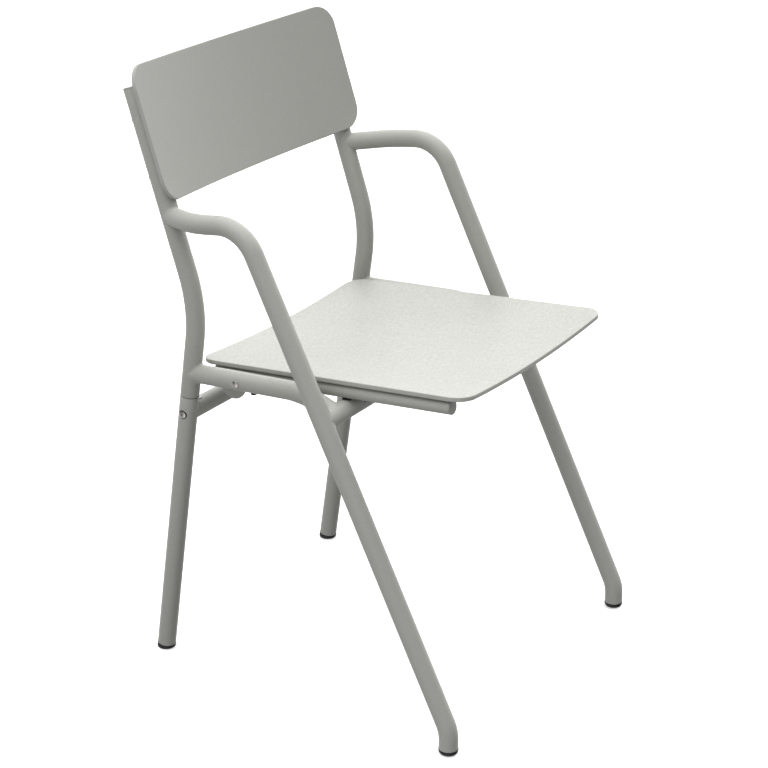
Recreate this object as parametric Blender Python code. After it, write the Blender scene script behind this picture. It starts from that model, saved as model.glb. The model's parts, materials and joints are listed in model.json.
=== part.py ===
"""Garden chair in bent round tube, with a seat that flips up and rear legs that fold forward.

Metres, +Z up. The chair faces -Y, its left side is +X, and the origin lies on the floor
under the middle of its bounding box.
"""
import math

import bmesh
import bpy
from mathutils import Matrix, Vector

# Clearances
FIT = 0.0003                # left between pieces that touch
SEAM_GAP = 0.001            # dark line between upright and rear leg
LEG_PASS_GAP = 0.006        # lets the rear legs swing between the front legs
SEAT_SIDE_GAP = 0.0036      # lets the seat swing between the uprights

# Tubes
TUBE_D = 0.025
TUBE_WALL = 0.002
SEAT_RAIL_D = 0.019
SEAT_RAIL_WALL = 0.0015
REAR_CROSS_D = 0.025
REAR_CROSS_WALL = 0.002

# Stance, seen from the side
UPRIGHT_SPACING = 0.403     # between the axes of the two uprights
FOOT_SPREAD = 0.470         # from the front feet to the rear feet
REAR_LEG_RAKE = math.radians(8.3)
FRONT_LEG_RAKE = math.radians(26.04)
BACK_LEAN = math.radians(18.1)
SEAT_SLOPE = math.radians(4.2)
RAIL_SLOPE = math.radians(3.2)
ARM_SLOPE = math.radians(7.1)
RAIL_ROOT_Z = 0.4196        # the side rail's axis meets the upright's at this height
SEAM_DROP = 0.0323          # from the rail's root down to the seam
UPRIGHT_BEND_RISE = 0.0919  # from the rail's root up to the bend
UPRIGHT_UPPER_LENGTH = 0.289
ARM_RISE = 0.122            # from the bend up to the arm, along the upright
ARM_BOW = math.radians(28)  # the arm leaves the upright outwards at this angle
FOOT_BEND_Z = 0.0314        # the front leg turns upright at this height
SIDE_RAIL_DROP_RUN = 0.050  # level length of the rail's dropped front end
REAR_CROSS_DROP = 0.0249    # from the seam down to the rear cross tube, along the leg

# Bend radii on the tube's axis
UPRIGHT_BEND_R = 0.200
ARM_BOW_R = 0.100
ARM_CORNER_R = 0.058
FOOT_BEND_R = 0.050
SIDE_RAIL_BEND_R = 0.125

# Seat
SEAT_T = 0.006
SEAT_DISH_R = 2.13
SEAT_CORNER_R = 0.025
SEAT_FRONT_REACH = 0.3223   # from the pivot to the front edge
SEAT_REAR_REACH = 0.0788    # from the pivot to the rear edge
SEAT_RAIL_INSET = 0.0255    # from the seat's edge to the rail's end
SEAT_RAIL_DROP = 0.0006     # axis of the seat rails below the pivot
PIVOT_SETBACK = 0.0784      # from the upright's axis to the pivot, along the side rail
PAD_T = 0.0008
PAD_R = 0.006
LUG_R = 0.017
LUG_T = 0.004
LUG_DROP = 0.0189           # centre of the lug's round end below the rail's axis
LUG_SETBACK = 0.0308        # centre of the lug behind the pivot
BUFFER_AHEAD = 0.0190       # buffer under the side rail, ahead of the pivot
BUFFER_R = 0.004
BUFFER_H = 0.0025
BUFFER_STEM_R = 0.0025
BUFFER_STEM_H = 0.005

# Back panel
PANEL_T = 0.005
PANEL_WIDTH = 0.449         # measured round the curve
PANEL_HEIGHT = 0.1750
PANEL_OVERHANG = 0.026      # above the top of the uprights
PANEL_BEND_R = 1.0
PANEL_CORNER_R = 0.030

# Hinge at the seam
KNUCKLE_R = 0.0024
KNUCKLE_W = 0.003
EAR_W = 0.0013
KNUCKLE_STANDOFF = 0.0014   # between the knuckle and the tube's front
TONGUE_T = 0.0022
SOCKET_L = 0.026
FORK_L = 0.045
PIN_R = 0.0011
PIN_HEAD_R = 0.0019
PIN_HEAD_T = 0.0005

# Fasteners
PIVOT_BOLT_R = 0.0025
PIVOT_HEAD_R = 0.00475
PIVOT_HEAD_H = 0.0027
WASHER_T = 0.003
WASHER_R = 0.007
NUT_T = 0.005
NUT_R = 0.0046
BOLT_END = 0.001            # thread showing past the nut
FORK_BOLT_R = 0.003
FORK_HEAD_R = 0.0055
FORK_HEAD_H = 0.0033
FORK_BOLT_BITE = 0.010
SCREW_R = 0.0025
BACK_HEAD_R = 0.0036
BACK_HEAD_H = 0.0008        # low, so that the uprights' outline stays clean
SEAT_HEAD_R = 0.0045
SEAT_HEAD_H = 0.0025
SCREW_BITE = 0.0033
SCREW_HOLE_END = 0.0005     # past the screw's tip
PANEL_SCREW_INSET = 0.035   # lower screw above the panel's lower edge
PANEL_SCREW_PITCH = 0.075
SEAT_SCREW_FRONT = 0.175    # ahead of the pivot
SEAT_SCREW_REAR = 0.060

# Plugs and feet
PLUG_T = 0.0015
PLUG_SPIGOT = 0.012
FOOT_H = 0.0070
FOOT_LIP = 0.0003           # the foot stands proud of the tube
FOOT_CHAMFER = 0.0030
FOOT_SPIGOT = 0.015

# Facets
TUBE_SIDES = 24
SMALL_SIDES = 16
ARC_STEP = math.radians(10)
CORNER_STEPS = 6
SEAT_STRIPS = 12
PANEL_STRIPS = 16
SMOOTH_ANGLE = math.radians(35)

# Derived sizes
TUBE_R = TUBE_D / 2
TUBE_BORE_R = TUBE_R - TUBE_WALL
SEAT_RAIL_R = SEAT_RAIL_D / 2
SEAT_RAIL_BORE_R = SEAT_RAIL_R - SEAT_RAIL_WALL
REAR_CROSS_R = REAR_CROSS_D / 2
FOOT_R = TUBE_R + FOOT_LIP
UPRIGHT_X = UPRIGHT_SPACING / 2
LEG_X = UPRIGHT_X + TUBE_D + LEG_PASS_GAP
SEAT_RAIL_X = UPRIGHT_X - TUBE_R - WASHER_T - 2 * FIT - SEAT_RAIL_R
SEAT_HALF_W = UPRIGHT_X - TUBE_R - SEAT_SIDE_GAP
HINGE_OFFSET = TUBE_R + KNUCKLE_STANDOFF + KNUCKLE_R
UPRIGHT_BEND_Z = RAIL_ROOT_Z + UPRIGHT_BEND_RISE
SEAM_Z = RAIL_ROOT_Z - SEAM_DROP
PANEL_TOP = UPRIGHT_UPPER_LENGTH + PANEL_OVERHANG
PANEL_BOTTOM = PANEL_TOP - PANEL_HEIGHT

SIDES = {"left": 1, "right": -1}
X_AXIS = Vector((1, 0, 0))
Z_AXIS = Vector((0, 0, 1))
LEG_UP = Vector((0, -math.sin(REAR_LEG_RAKE), math.cos(REAR_LEG_RAKE)))
BACK_UP = Vector((0, math.sin(BACK_LEAN), math.cos(BACK_LEAN)))
BACK_REAR = Vector((0, math.cos(BACK_LEAN), -math.sin(BACK_LEAN)))
SEAT_REAR = Vector((0, math.cos(SEAT_SLOPE), -math.sin(SEAT_SLOPE)))
SEAT_UP = Vector((0, math.sin(SEAT_SLOPE), math.cos(SEAT_SLOPE)))
RAIL_FORWARD = Vector((0, -math.cos(RAIL_SLOPE), math.sin(RAIL_SLOPE)))
RAIL_UP = Vector((0, math.sin(RAIL_SLOPE), math.cos(RAIL_SLOPE)))
FRONT_LEG_UP = Vector((0, math.sin(FRONT_LEG_RAKE), math.cos(FRONT_LEG_RAKE)))
ARM_FORWARD = Vector((0, -math.cos(ARM_SLOPE), math.sin(ARM_SLOPE)))


def cradle_depth(bend_r, thickness, support_r, support_x):
    """Distance from the line between two supports to the centre of a bent plate's curve."""
    reach = bend_r + thickness + FIT + support_r
    return math.sqrt(reach * reach - support_x * support_x)


PANEL_DEPTH = cradle_depth(PANEL_BEND_R, PANEL_T, TUBE_R, UPRIGHT_X)
SEAT_DEPTH = cradle_depth(SEAT_DISH_R, SEAT_T, SEAT_RAIL_R, SEAT_RAIL_X)


def rear_foot_place():
    """Y of the rear feet that centres the chair between its frontmost and rearmost points."""
    bend_back = -UPRIGHT_BEND_Z * math.tan(REAR_LEG_RAKE)
    panel_rear = PANEL_BEND_R + PANEL_T - PANEL_DEPTH
    panel_back = bend_back + PANEL_TOP * BACK_UP.y + panel_rear * BACK_REAR.y
    plug_back = bend_back + (UPRIGHT_UPPER_LENGTH + FIT + PLUG_T) * BACK_UP.y + TUBE_R * BACK_REAR.y
    front = -FOOT_SPREAD - FOOT_R
    rear = max(panel_back, plug_back, FOOT_R)
    return -(front + rear) / 2


def meet(point_a, along_a, point_b, along_b):
    """Crossing of two lines in the YZ plane."""
    gap = point_b - point_a
    cross = along_a.y * along_b.z - along_a.z * along_b.y
    return point_a + along_a * ((gap.y * along_b.z - gap.z * along_b.y) / cross)


# Places in the middle plane of the chair
REAR_FOOT = Vector((0, rear_foot_place(), 0))
FRONT_FOOT = REAR_FOOT + Vector((0, -FOOT_SPREAD, 0))
FOOT_BEND = FRONT_FOOT + Z_AXIS * FOOT_BEND_Z
SEAM = REAR_FOOT + LEG_UP * (SEAM_Z / LEG_UP.z)
UPRIGHT_BEND = REAR_FOOT + LEG_UP * (UPRIGHT_BEND_Z / LEG_UP.z)
UPRIGHT_TOP = UPRIGHT_BEND + BACK_UP * UPRIGHT_UPPER_LENGTH
ARM_ROOT = UPRIGHT_BEND + BACK_UP * ARM_RISE
ARM_CORNER = meet(ARM_ROOT, ARM_FORWARD, FOOT_BEND, FRONT_LEG_UP)
RAIL_ROOT = REAR_FOOT + LEG_UP * (RAIL_ROOT_Z / LEG_UP.z)
PIVOT = RAIL_ROOT + RAIL_FORWARD * PIVOT_SETBACK
SEAT_RAIL = PIVOT - SEAT_UP * SEAT_RAIL_DROP
UNDER_SEAT_RAIL = SEAT_RAIL - SEAT_UP * (SEAT_RAIL_R + PAD_T + TUBE_R + 2 * FIT)
FRONT_CROSS = meet(UNDER_SEAT_RAIL, SEAT_REAR, FOOT_BEND, FRONT_LEG_UP)
RAIL_BEND = meet(PIVOT, RAIL_FORWARD, FRONT_CROSS + Vector((0, SIDE_RAIL_DROP_RUN, 0)), Z_AXIS)
REAR_CROSS = SEAM - LEG_UP * REAR_CROSS_DROP
HINGE = SEAM + X_AXIS.cross(LEG_UP) * HINGE_OFFSET


def at_x(point, x):
    return Vector((x, point.y, point.z))


def axis_frame(origin, z_axis, x_hint):
    """Matrix with its Z along z_axis and its X as near x_hint as it can be."""
    z = z_axis.normalized()
    x = (x_hint - z * x_hint.dot(z)).normalized()
    y = z.cross(x)
    frame = Matrix((x, y, z)).transposed().to_4x4()
    frame.translation = origin
    return frame


def material(name, color, roughness, metallic):
    made = bpy.data.materials.new(name)
    made.use_nodes = True
    shader = made.node_tree.nodes["Principled BSDF"]
    shader.inputs["Base Color"].default_value = (*color, 1.0)
    shader.inputs["Roughness"].default_value = roughness
    shader.inputs["Metallic"].default_value = metallic
    return made


def add_object(name, bm, finish, parent):
    """Turn a finished bmesh into a named, smooth-shaded object under its body's empty."""
    mesh = bpy.data.meshes.new(name)
    bmesh.ops.recalc_face_normals(bm, faces=bm.faces)
    bm.to_mesh(mesh)
    bm.free()
    mesh.shade_smooth()
    mesh.set_sharp_from_angle(angle=SMOOTH_ANGLE)
    mesh.materials.append(finish)
    made = bpy.data.objects.new(name, mesh)
    bpy.context.collection.objects.link(made)
    made.parent = parent
    made.matrix_parent_inverse = parent.matrix_world.inverted()
    return made


def add_tool(name, bm):
    """A solid that only cuts or extends other pieces."""
    mesh = bpy.data.meshes.new(name)
    bmesh.ops.recalc_face_normals(bm, faces=bm.faces)
    bm.to_mesh(mesh)
    bm.free()
    tool = bpy.data.objects.new(name, mesh)
    bpy.context.collection.objects.link(tool)
    tool.hide_render = True
    tool.display_type = "WIRE"
    return tool


def combine(target, tool, operation):
    step = target.modifiers.new(operation.lower() + "_" + tool.name, "BOOLEAN")
    step.operation = operation
    step.solver = "EXACT"
    step.object = tool


def cut(target, *tools):
    for tool in tools:
        combine(target, tool, "DIFFERENCE")


def extend(target, *tools):
    for tool in tools:
        combine(target, tool, "UNION")


def rounded_path(corners, radii):
    """Points of a bent line, with an arc of the given radius at each inner corner."""
    points = [corners[0]]
    for before, corner, after, radius in zip(corners, corners[1:], corners[2:], radii):
        arriving = (corner - before).normalized()
        leaving = (after - corner).normalized()
        turn = arriving.angle(leaving)
        room = min((corner - before).length, (after - corner).length) / 2
        tangent = min(radius * math.tan(turn / 2), room)
        inward = (leaving - arriving).normalized()
        centre = corner + inward * (tangent / math.sin(turn / 2))
        spoke = corner - arriving * tangent - centre
        axis = arriving.cross(leaving).normalized()
        steps = max(2, math.ceil(turn / ARC_STEP))
        points += [centre + Matrix.Rotation(turn * k / steps, 3, axis) @ spoke for k in range(steps + 1)]
    points.append(corners[-1])
    return points


def path_frames(points, hint):
    """A frame at each point of a path, turned along it without twist."""
    steps = [(b - a).normalized() for a, b in zip(points, points[1:])]
    tangents = [steps[0]]
    tangents += [(a + b).normalized() for a, b in zip(steps, steps[1:])]
    tangents.append(steps[-1])
    frames = []
    for point, tangent in zip(points, tangents):
        frame = axis_frame(point, tangent, hint)
        hint = frame.to_3x3().col[0]
        frames.append(frame)
    return frames


def sweep(points, radius, bore=None, sides=TUBE_SIDES, hint=X_AXIS):
    """Round bar along a path, or a tube with open ends where a bore is given."""
    frames = path_frames(points, hint)
    rings = [frame @ Matrix.Scale(radius, 4) for frame in frames]
    if bore is not None:
        rings += [frame @ Matrix.Scale(bore, 4) for frame in reversed(frames)]
    bm = bmesh.new()
    bmesh.ops.create_circle(bm, cap_ends=False, segments=sides, radius=1.0, matrix=rings[0])
    first = list(bm.edges)
    edges = first
    for last, ring in zip(rings, rings[1:]):
        made = bmesh.ops.extrude_edge_only(bm, edges=edges)["geom"]
        verts = {item for item in made if isinstance(item, bmesh.types.BMVert)}
        bmesh.ops.transform(bm, matrix=ring @ last.inverted(), verts=list(verts))
        made_edges = [item for item in made if isinstance(item, bmesh.types.BMEdge)]
        edges = [edge for edge in made_edges if verts.issuperset(edge.verts)]
    if bore is None:
        bmesh.ops.holes_fill(bm, edges=bm.edges)
    else:
        bmesh.ops.bridge_loops(bm, edges=edges + first)
    return bm


def turned(profile, frame, sides=SMALL_SIDES, ring=False):
    """Solid of revolution about the frame's Z, from (radius, height) points on one side."""
    bm = bmesh.new()
    verts = [bm.verts.new((radius, 0, height)) for radius, height in profile]
    pairs = list(zip(verts, verts[1:]))
    if ring:
        pairs.append((verts[-1], verts[0]))
    edges = [bm.edges.new(pair) for pair in pairs]
    bmesh.ops.spin(bm, geom=verts + edges, cent=(0, 0, 0), axis=(0, 0, 1), angle=2 * math.pi,
                   steps=sides, use_merge=True)
    bmesh.ops.remove_doubles(bm, verts=bm.verts, dist=0.000001)
    bmesh.ops.transform(bm, matrix=frame, verts=bm.verts)
    return bm


def drill(name, radius, start, end, sides=SMALL_SIDES):
    """Tool that bores a straight round hole from start to end.

    Its facets are turned a little, so that none of its edges runs into an edge of a tube.
    """
    along = (end - start).normalized()
    hint = Z_AXIS if abs(along.x) > 0.5 else X_AXIS
    turn = Matrix.Rotation(math.pi / (2 * sides), 3, along)
    return add_tool(name, sweep([start, end], radius, sides=sides, hint=turn @ hint))


def block(low, high, frame):
    """Box between two corners of a frame."""
    low = Vector(low)
    high = Vector(high)
    bm = bmesh.new()
    size = Matrix.Diagonal((*(high - low), 1.0))
    bmesh.ops.create_cube(bm, size=1.0, matrix=frame @ Matrix.Translation((low + high) / 2) @ size)
    return bm


def bolt_profile(shank_r, shank_l, head_r, head_h):
    """Button-head bolt with the head's underside at height 0."""
    return [(0, -shank_l), (shank_r, -shank_l), (shank_r, 0), (head_r, 0), (head_r, head_h * 0.4),
            (head_r * 0.8, head_h * 0.85), (head_r * 0.45, head_h), (0, head_h)]


def plug_profile(bore_r, cap_r):
    """End plug with its cap's underside at height 0 and its spigot below."""
    spigot_r = bore_r - FIT
    spigot = [(0, -PLUG_SPIGOT), (spigot_r, -PLUG_SPIGOT), (spigot_r, 0)]
    return spigot + [(cap_r, 0), (cap_r, PLUG_T), (0, PLUG_T)]


def bent_plate(half_width, low, high, thickness, corner_r, bend_r, strips, place):
    """Rounded rectangle bent to a curve across its width.

    place takes an angle round the curve, a distance along the plate and a distance from the
    curve's centre, and gives a point.
    """
    bm = bmesh.new()
    outline = [(-half_width, low), (half_width, low), (half_width, high), (-half_width, high)]
    corners = [bm.verts.new((u, v, 0)) for u, v in outline]
    bm.faces.new(corners)
    bmesh.ops.bevel(bm, geom=corners, offset=corner_r, offset_type="OFFSET", segments=CORNER_STEPS,
                    profile=0.5, affect="VERTICES", material=-1)
    for k in range(1, strips):
        station = half_width * (2 * k / strips - 1)
        bmesh.ops.bisect_plane(bm, geom=bm.verts[:] + bm.edges[:] + bm.faces[:],
                               plane_co=(station, 0, 0), plane_no=(1, 0, 0))
    made = bmesh.ops.extrude_face_region(bm, geom=bm.faces[:])["geom"]
    far_side = [item for item in made if isinstance(item, bmesh.types.BMVert)]
    bmesh.ops.translate(bm, vec=(0, 0, thickness), verts=far_side)
    for vert in bm.verts:
        vert.co = place(vert.co.x / bend_r, vert.co.y, bend_r + vert.co.z)
    return bm


def panel_place(angle, along, radius):
    """Point of the back panel, whose curve is centred in front of the uprights."""
    across = X_AXIS * (radius * math.sin(angle))
    return UPRIGHT_BEND + BACK_UP * along + across + BACK_REAR * (radius * math.cos(angle) - PANEL_DEPTH)


def seat_place(angle, along, radius):
    """Point of the seat panel, whose curve is centred above the seat rails."""
    across = X_AXIS * (radius * math.sin(angle))
    return SEAT_RAIL + SEAT_REAR * along + across - SEAT_UP * (radius * math.cos(angle) - SEAT_DEPTH)


def upright_axis(sign):
    seam_end = SEAM + LEG_UP * (SEAM_GAP / 2)
    corners = [at_x(p, sign * UPRIGHT_X) for p in (seam_end, UPRIGHT_BEND, UPRIGHT_TOP)]
    return rounded_path(corners, [UPRIGHT_BEND_R])


def arm_leg_axis(sign):
    """From the upright's axis outwards, along the arm, round its corner and down to the foot."""
    bow_run = (LEG_X - UPRIGHT_X) / math.tan(ARM_BOW)
    bow = ARM_ROOT + ARM_FORWARD * (bow_run / -ARM_FORWARD.y)
    end = FRONT_FOOT + Z_AXIS * (FOOT_H + FIT)
    corners = [at_x(ARM_ROOT, sign * UPRIGHT_X)]
    corners += [at_x(p, sign * LEG_X) for p in (bow, ARM_CORNER, FOOT_BEND, end)]
    return rounded_path(corners, [ARM_BOW_R, ARM_CORNER_R, FOOT_BEND_R])


def side_rail_axis(sign):
    corners = [at_x(p, sign * UPRIGHT_X) for p in (RAIL_ROOT, RAIL_BEND, FRONT_CROSS)]
    return rounded_path(corners, [SIDE_RAIL_BEND_R])


def make_frame(body, finishes):
    """Fixed tubes, with their ends shaped to the tubes they are welded to."""
    coat = finishes["powder_coat"]
    cross_ends = [at_x(FRONT_CROSS, -LEG_X), at_x(FRONT_CROSS, LEG_X)]
    cross = add_object("front_cross_tube", sweep(cross_ends, TUBE_R, TUBE_BORE_R, hint=Z_AXIS), coat, body)
    cross_tool = add_tool("front_cross_tool", sweep(cross_ends, TUBE_R + FIT, hint=Z_AXIS))
    for side, sign in SIDES.items():
        upright = add_object(side + "_upright", sweep(upright_axis(sign), TUBE_R, TUBE_BORE_R), coat, body)
        upright_tool = add_tool(side + "_upright_tool", sweep(upright_axis(sign), TUBE_R + FIT))
        arm_leg = add_object(side + "_arm_leg", sweep(arm_leg_axis(sign), TUBE_R, TUBE_BORE_R), coat, body)
        leg_tool = add_tool(side + "_leg_tool", sweep(arm_leg_axis(sign), TUBE_R + FIT))
        rail = add_object(side + "_side_rail", sweep(side_rail_axis(sign), TUBE_R, TUBE_BORE_R), coat, body)
        cut(arm_leg, upright_tool)
        cut(rail, upright_tool, cross_tool)
        cut(cross, leg_tool)
        notch = block((-KNUCKLE_W / 2 - FIT, -TUBE_D, -TUBE_R),
                      (KNUCKLE_W / 2 + FIT, -TUBE_BORE_R + TUBE_WALL, TONGUE_T + FIT), seam_frame(sign))
        cut(upright, add_tool(side + "_upright_notch", notch))
        make_frame_trim(body, finishes, side, sign)
        make_seat_pad(body, finishes, side, sign, cross_tool)
        make_rail_buffer(body, finishes, side, sign, rail)
        make_pivot(body, finishes, side, sign, rail)
        make_hinge_socket(body, finishes, side, sign)


def make_frame_trim(body, finishes, side, sign):
    """Plug in the upright's top, and the front foot."""
    top = axis_frame(at_x(UPRIGHT_TOP, sign * UPRIGHT_X) + BACK_UP * FIT, BACK_UP, X_AXIS)
    add_object(side + "_upright_plug", turned(plug_profile(TUBE_BORE_R, TUBE_R), top, TUBE_SIDES),
               finishes["plastic"], body)
    floor = Matrix.Translation(at_x(FRONT_FOOT, sign * LEG_X))
    spigot_r = TUBE_BORE_R - FIT
    profile = [(0, 0), (FOOT_R - FOOT_CHAMFER, 0), (FOOT_R, FOOT_CHAMFER), (FOOT_R, FOOT_H),
               (spigot_r, FOOT_H), (spigot_r, FOOT_H + FOOT_SPIGOT), (0, FOOT_H + FOOT_SPIGOT)]
    add_object(side + "_front_foot", turned(profile, floor, TUBE_SIDES), finishes["rubber"], body)


def make_seat_pad(body, finishes, side, sign, cross_tool):
    """Saddle pad on the front cross tube that carries a seat rail."""
    seat = at_x(FRONT_CROSS, sign * SEAT_RAIL_X)
    crown = seat + SEAT_UP * (TUBE_R + FIT + PAD_T)
    bm = sweep([seat, crown], PAD_R, sides=SMALL_SIDES)
    pad = add_object(side + "_seat_pad", bm, finishes["rubber"], body)
    cut(pad, cross_tool)


def make_rail_buffer(body, finishes, side, sign, rail):
    """Push-in buffer under the side rail."""
    under = at_x(PIVOT, sign * UPRIGHT_X) + RAIL_FORWARD * BUFFER_AHEAD - RAIL_UP * (TUBE_R + FIT)
    profile = [(0, -BUFFER_STEM_H), (BUFFER_STEM_R, -BUFFER_STEM_H), (BUFFER_STEM_R, 0), (BUFFER_R, 0),
               (BUFFER_R, BUFFER_H * 0.6), (BUFFER_R * 0.6, BUFFER_H), (0, BUFFER_H)]
    bm = turned(profile, axis_frame(under, -RAIL_UP, X_AXIS))
    add_object(side + "_rail_buffer", bm, finishes["rubber"], body)
    hole_ends = (under - RAIL_UP * TUBE_WALL, under + RAIL_UP * TUBE_R)
    cut(rail, drill(side + "_buffer_hole", BUFFER_STEM_R + FIT, *hole_ends))


def make_pivot(body, finishes, side, sign, rail):
    """Bolt through side rail and seat rail, with the washer between them and the nut inside."""
    out = X_AXIS * sign
    head = at_x(PIVOT, sign * (UPRIGHT_X + TUBE_R + FIT))
    nut_face = SEAT_RAIL_X - SEAT_RAIL_R - FIT
    shank = abs(head.x) - nut_face + NUT_T + BOLT_END
    profile = bolt_profile(PIVOT_BOLT_R, shank, PIVOT_HEAD_R, PIVOT_HEAD_H)
    bm = turned(profile, axis_frame(head, out, Z_AXIS))
    add_object(side + "_pivot_bolt", bm, finishes["stainless"], body)
    hole_r = PIVOT_BOLT_R + FIT
    washer_at = at_x(PIVOT, sign * (SEAT_RAIL_X + SEAT_RAIL_R + FIT))
    washer = [(hole_r, 0), (WASHER_R, 0), (WASHER_R, WASHER_T), (hole_r, WASHER_T)]
    add_object(side + "_pivot_washer", turned(washer, axis_frame(washer_at, out, Z_AXIS), ring=True),
               finishes["plastic"], body)
    nut_at = at_x(PIVOT, sign * nut_face)
    nut = add_object(side + "_pivot_nut", sweep([nut_at, nut_at - out * NUT_T], NUT_R, sides=6, hint=Z_AXIS),
                     finishes["stainless"], body)
    bore = pivot_drill(side, sign)
    cut(rail, bore)
    cut(nut, bore)


def pivot_drill(side, sign):
    """Tool for the pivot's hole through both rails and the nut."""
    name = side + "_pivot_hole"
    if name in bpy.data.objects:
        return bpy.data.objects[name]
    inner = at_x(PIVOT, sign * (SEAT_RAIL_X - SEAT_RAIL_D))
    return drill(name, PIVOT_BOLT_R + FIT, inner, at_x(PIVOT, sign * (UPRIGHT_X + TUBE_D)))


def seam_frame(sign):
    """Frame at the seam's centre: Z up the rear leg, Y to the rear."""
    return axis_frame(at_x(SEAM, sign * UPRIGHT_X), LEG_UP, X_AXIS)


def knuckle(name, frame, middle, width, radius):
    """Tool for a round part of the hinge, centred on the hinge's axis."""
    ends = [frame @ Vector((middle + half * width / 2, -HINGE_OFFSET, 0)) for half in (-1, 1)]
    return add_tool(name, sweep(ends, radius, sides=SMALL_SIDES, hint=Z_AXIS))


def make_hinge_socket(body, finishes, side, sign):
    """Insert in the upright's lower end, with the middle knuckle of the hinge."""
    frame = seam_frame(sign)
    ends = [frame @ Vector((0, 0, height)) for height in (SEAM_GAP / 2, SOCKET_L)]
    socket = add_object(side + "_hinge_socket", sweep(ends, TUBE_BORE_R - FIT), finishes["stainless"], body)
    tongue = block((-KNUCKLE_W / 2, -HINGE_OFFSET, SEAM_GAP / 2), (KNUCKLE_W / 2, 0, TONGUE_T), frame)
    extend(socket, add_tool(side + "_socket_tongue", tongue))
    extend(socket, knuckle(side + "_socket_knuckle", frame, 0, KNUCKLE_W, KNUCKLE_R))
    cut(socket, knuckle(side + "_socket_pin_hole", frame, 0, KNUCKLE_W * 3, PIN_R + FIT))


def make_rear_legs(body, finishes):
    """Rear legs with their cross tube, feet and the moving half of the hinge."""
    coat = finishes["powder_coat"]
    cross_ends = [at_x(REAR_CROSS, -UPRIGHT_X), at_x(REAR_CROSS, UPRIGHT_X)]
    bore = REAR_CROSS_R - REAR_CROSS_WALL
    cross = add_object("rear_cross_tube", sweep(cross_ends, REAR_CROSS_R, bore, hint=Z_AXIS), coat, body)
    for side, sign in SIDES.items():
        foot_end = REAR_FOOT + LEG_UP * (FOOT_H + FIT)
        leg_axis = [at_x(p, sign * UPRIGHT_X) for p in (foot_end, SEAM - LEG_UP * (SEAM_GAP / 2))]
        leg = add_object(side + "_rear_leg", sweep(leg_axis, TUBE_R, TUBE_BORE_R), coat, body)
        cut(cross, add_tool(side + "_rear_leg_tool", sweep(leg_axis, TUBE_R + FIT)))
        half = KNUCKLE_W / 2 + EAR_W + 2 * FIT
        notch = block((-half, -TUBE_D, -TONGUE_T - FIT), (half, -TUBE_BORE_R + TUBE_WALL, TUBE_R),
                      seam_frame(sign))
        cut(leg, add_tool(side + "_leg_notch", notch))
        fork = make_hinge_fork(body, finishes, side, sign)
        make_fork_bolt(body, finishes, side, sign, leg, fork)
        make_rear_foot(body, finishes, side, sign)


def make_hinge_fork(body, finishes, side, sign):
    """Insert in the rear leg's upper end with two hinge ears, and the pin they hold."""
    frame = seam_frame(sign)
    ends = [frame @ Vector((0, 0, height)) for height in (-FORK_L, -SEAM_GAP / 2)]
    fork = add_object(side + "_hinge_fork", sweep(ends, TUBE_BORE_R - FIT), finishes["stainless"], body)
    middle = KNUCKLE_W / 2 + FIT + EAR_W / 2
    for ear, place in (("inner", -middle), ("outer", middle)):
        name = side + "_" + ear
        low = (place - EAR_W / 2, -HINGE_OFFSET, -TONGUE_T)
        high = (place + EAR_W / 2, 0, -SEAM_GAP / 2)
        extend(fork, add_tool(name + "_tongue", block(low, high, frame)))
        extend(fork, knuckle(name + "_ear", frame, place, EAR_W, KNUCKLE_R))
    half = middle + EAR_W / 2
    cut(fork, knuckle(side + "_fork_pin_hole", frame, 0, 4 * half, PIN_R + FIT))
    head_at = half + FIT
    pin_end = head_at + PIN_HEAD_T
    pin = [(0, -pin_end), (PIN_HEAD_R, -pin_end), (PIN_HEAD_R, -head_at), (PIN_R, -head_at),
           (PIN_R, head_at), (PIN_HEAD_R, head_at), (PIN_HEAD_R, pin_end), (0, pin_end)]
    centre = frame @ Vector((0, -HINGE_OFFSET, 0))
    bm = turned(pin, axis_frame(centre, X_AXIS, Z_AXIS))
    add_object(side + "_hinge_pin", bm, finishes["stainless"], body)
    return fork


def make_fork_bolt(body, finishes, side, sign, leg, fork):
    """Bolt that holds the hinge fork in the rear leg."""
    out = X_AXIS * sign
    head = at_x(REAR_CROSS, sign * (UPRIGHT_X + TUBE_R + FIT))
    shank = TUBE_WALL + 2 * FIT + FORK_BOLT_BITE
    profile = bolt_profile(FORK_BOLT_R, shank, FORK_HEAD_R, FORK_HEAD_H)
    bm = turned(profile, axis_frame(head, out, Z_AXIS))
    add_object(side + "_fork_bolt", bm, finishes["stainless"], body)
    hole = drill(side + "_fork_bolt_hole", FORK_BOLT_R + FIT, head - out * (shank + FIT), head + out * TUBE_R)
    cut(leg, hole)
    cut(fork, hole)


def make_rear_foot(body, finishes, side, sign):
    """Foot square to the raked leg, cut level with the floor."""
    frame = axis_frame(at_x(REAR_FOOT, sign * UPRIGHT_X), LEG_UP, X_AXIS)
    spigot_r = TUBE_BORE_R - FIT
    profile = [(0, -FOOT_R), (FOOT_R, -FOOT_R), (FOOT_R, FOOT_H), (spigot_r, FOOT_H),
               (spigot_r, FOOT_H + FOOT_SPIGOT), (0, FOOT_H + FOOT_SPIGOT)]
    bm = turned(profile, frame, TUBE_SIDES)
    bmesh.ops.bisect_plane(bm, geom=bm.verts[:] + bm.edges[:] + bm.faces[:], plane_co=(0, 0, 0),
                           plane_no=(0, 0, 1), clear_inner=True)
    bmesh.ops.holes_fill(bm, edges=bm.edges)
    add_object(side + "_rear_foot", bm, finishes["rubber"], body)


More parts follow.
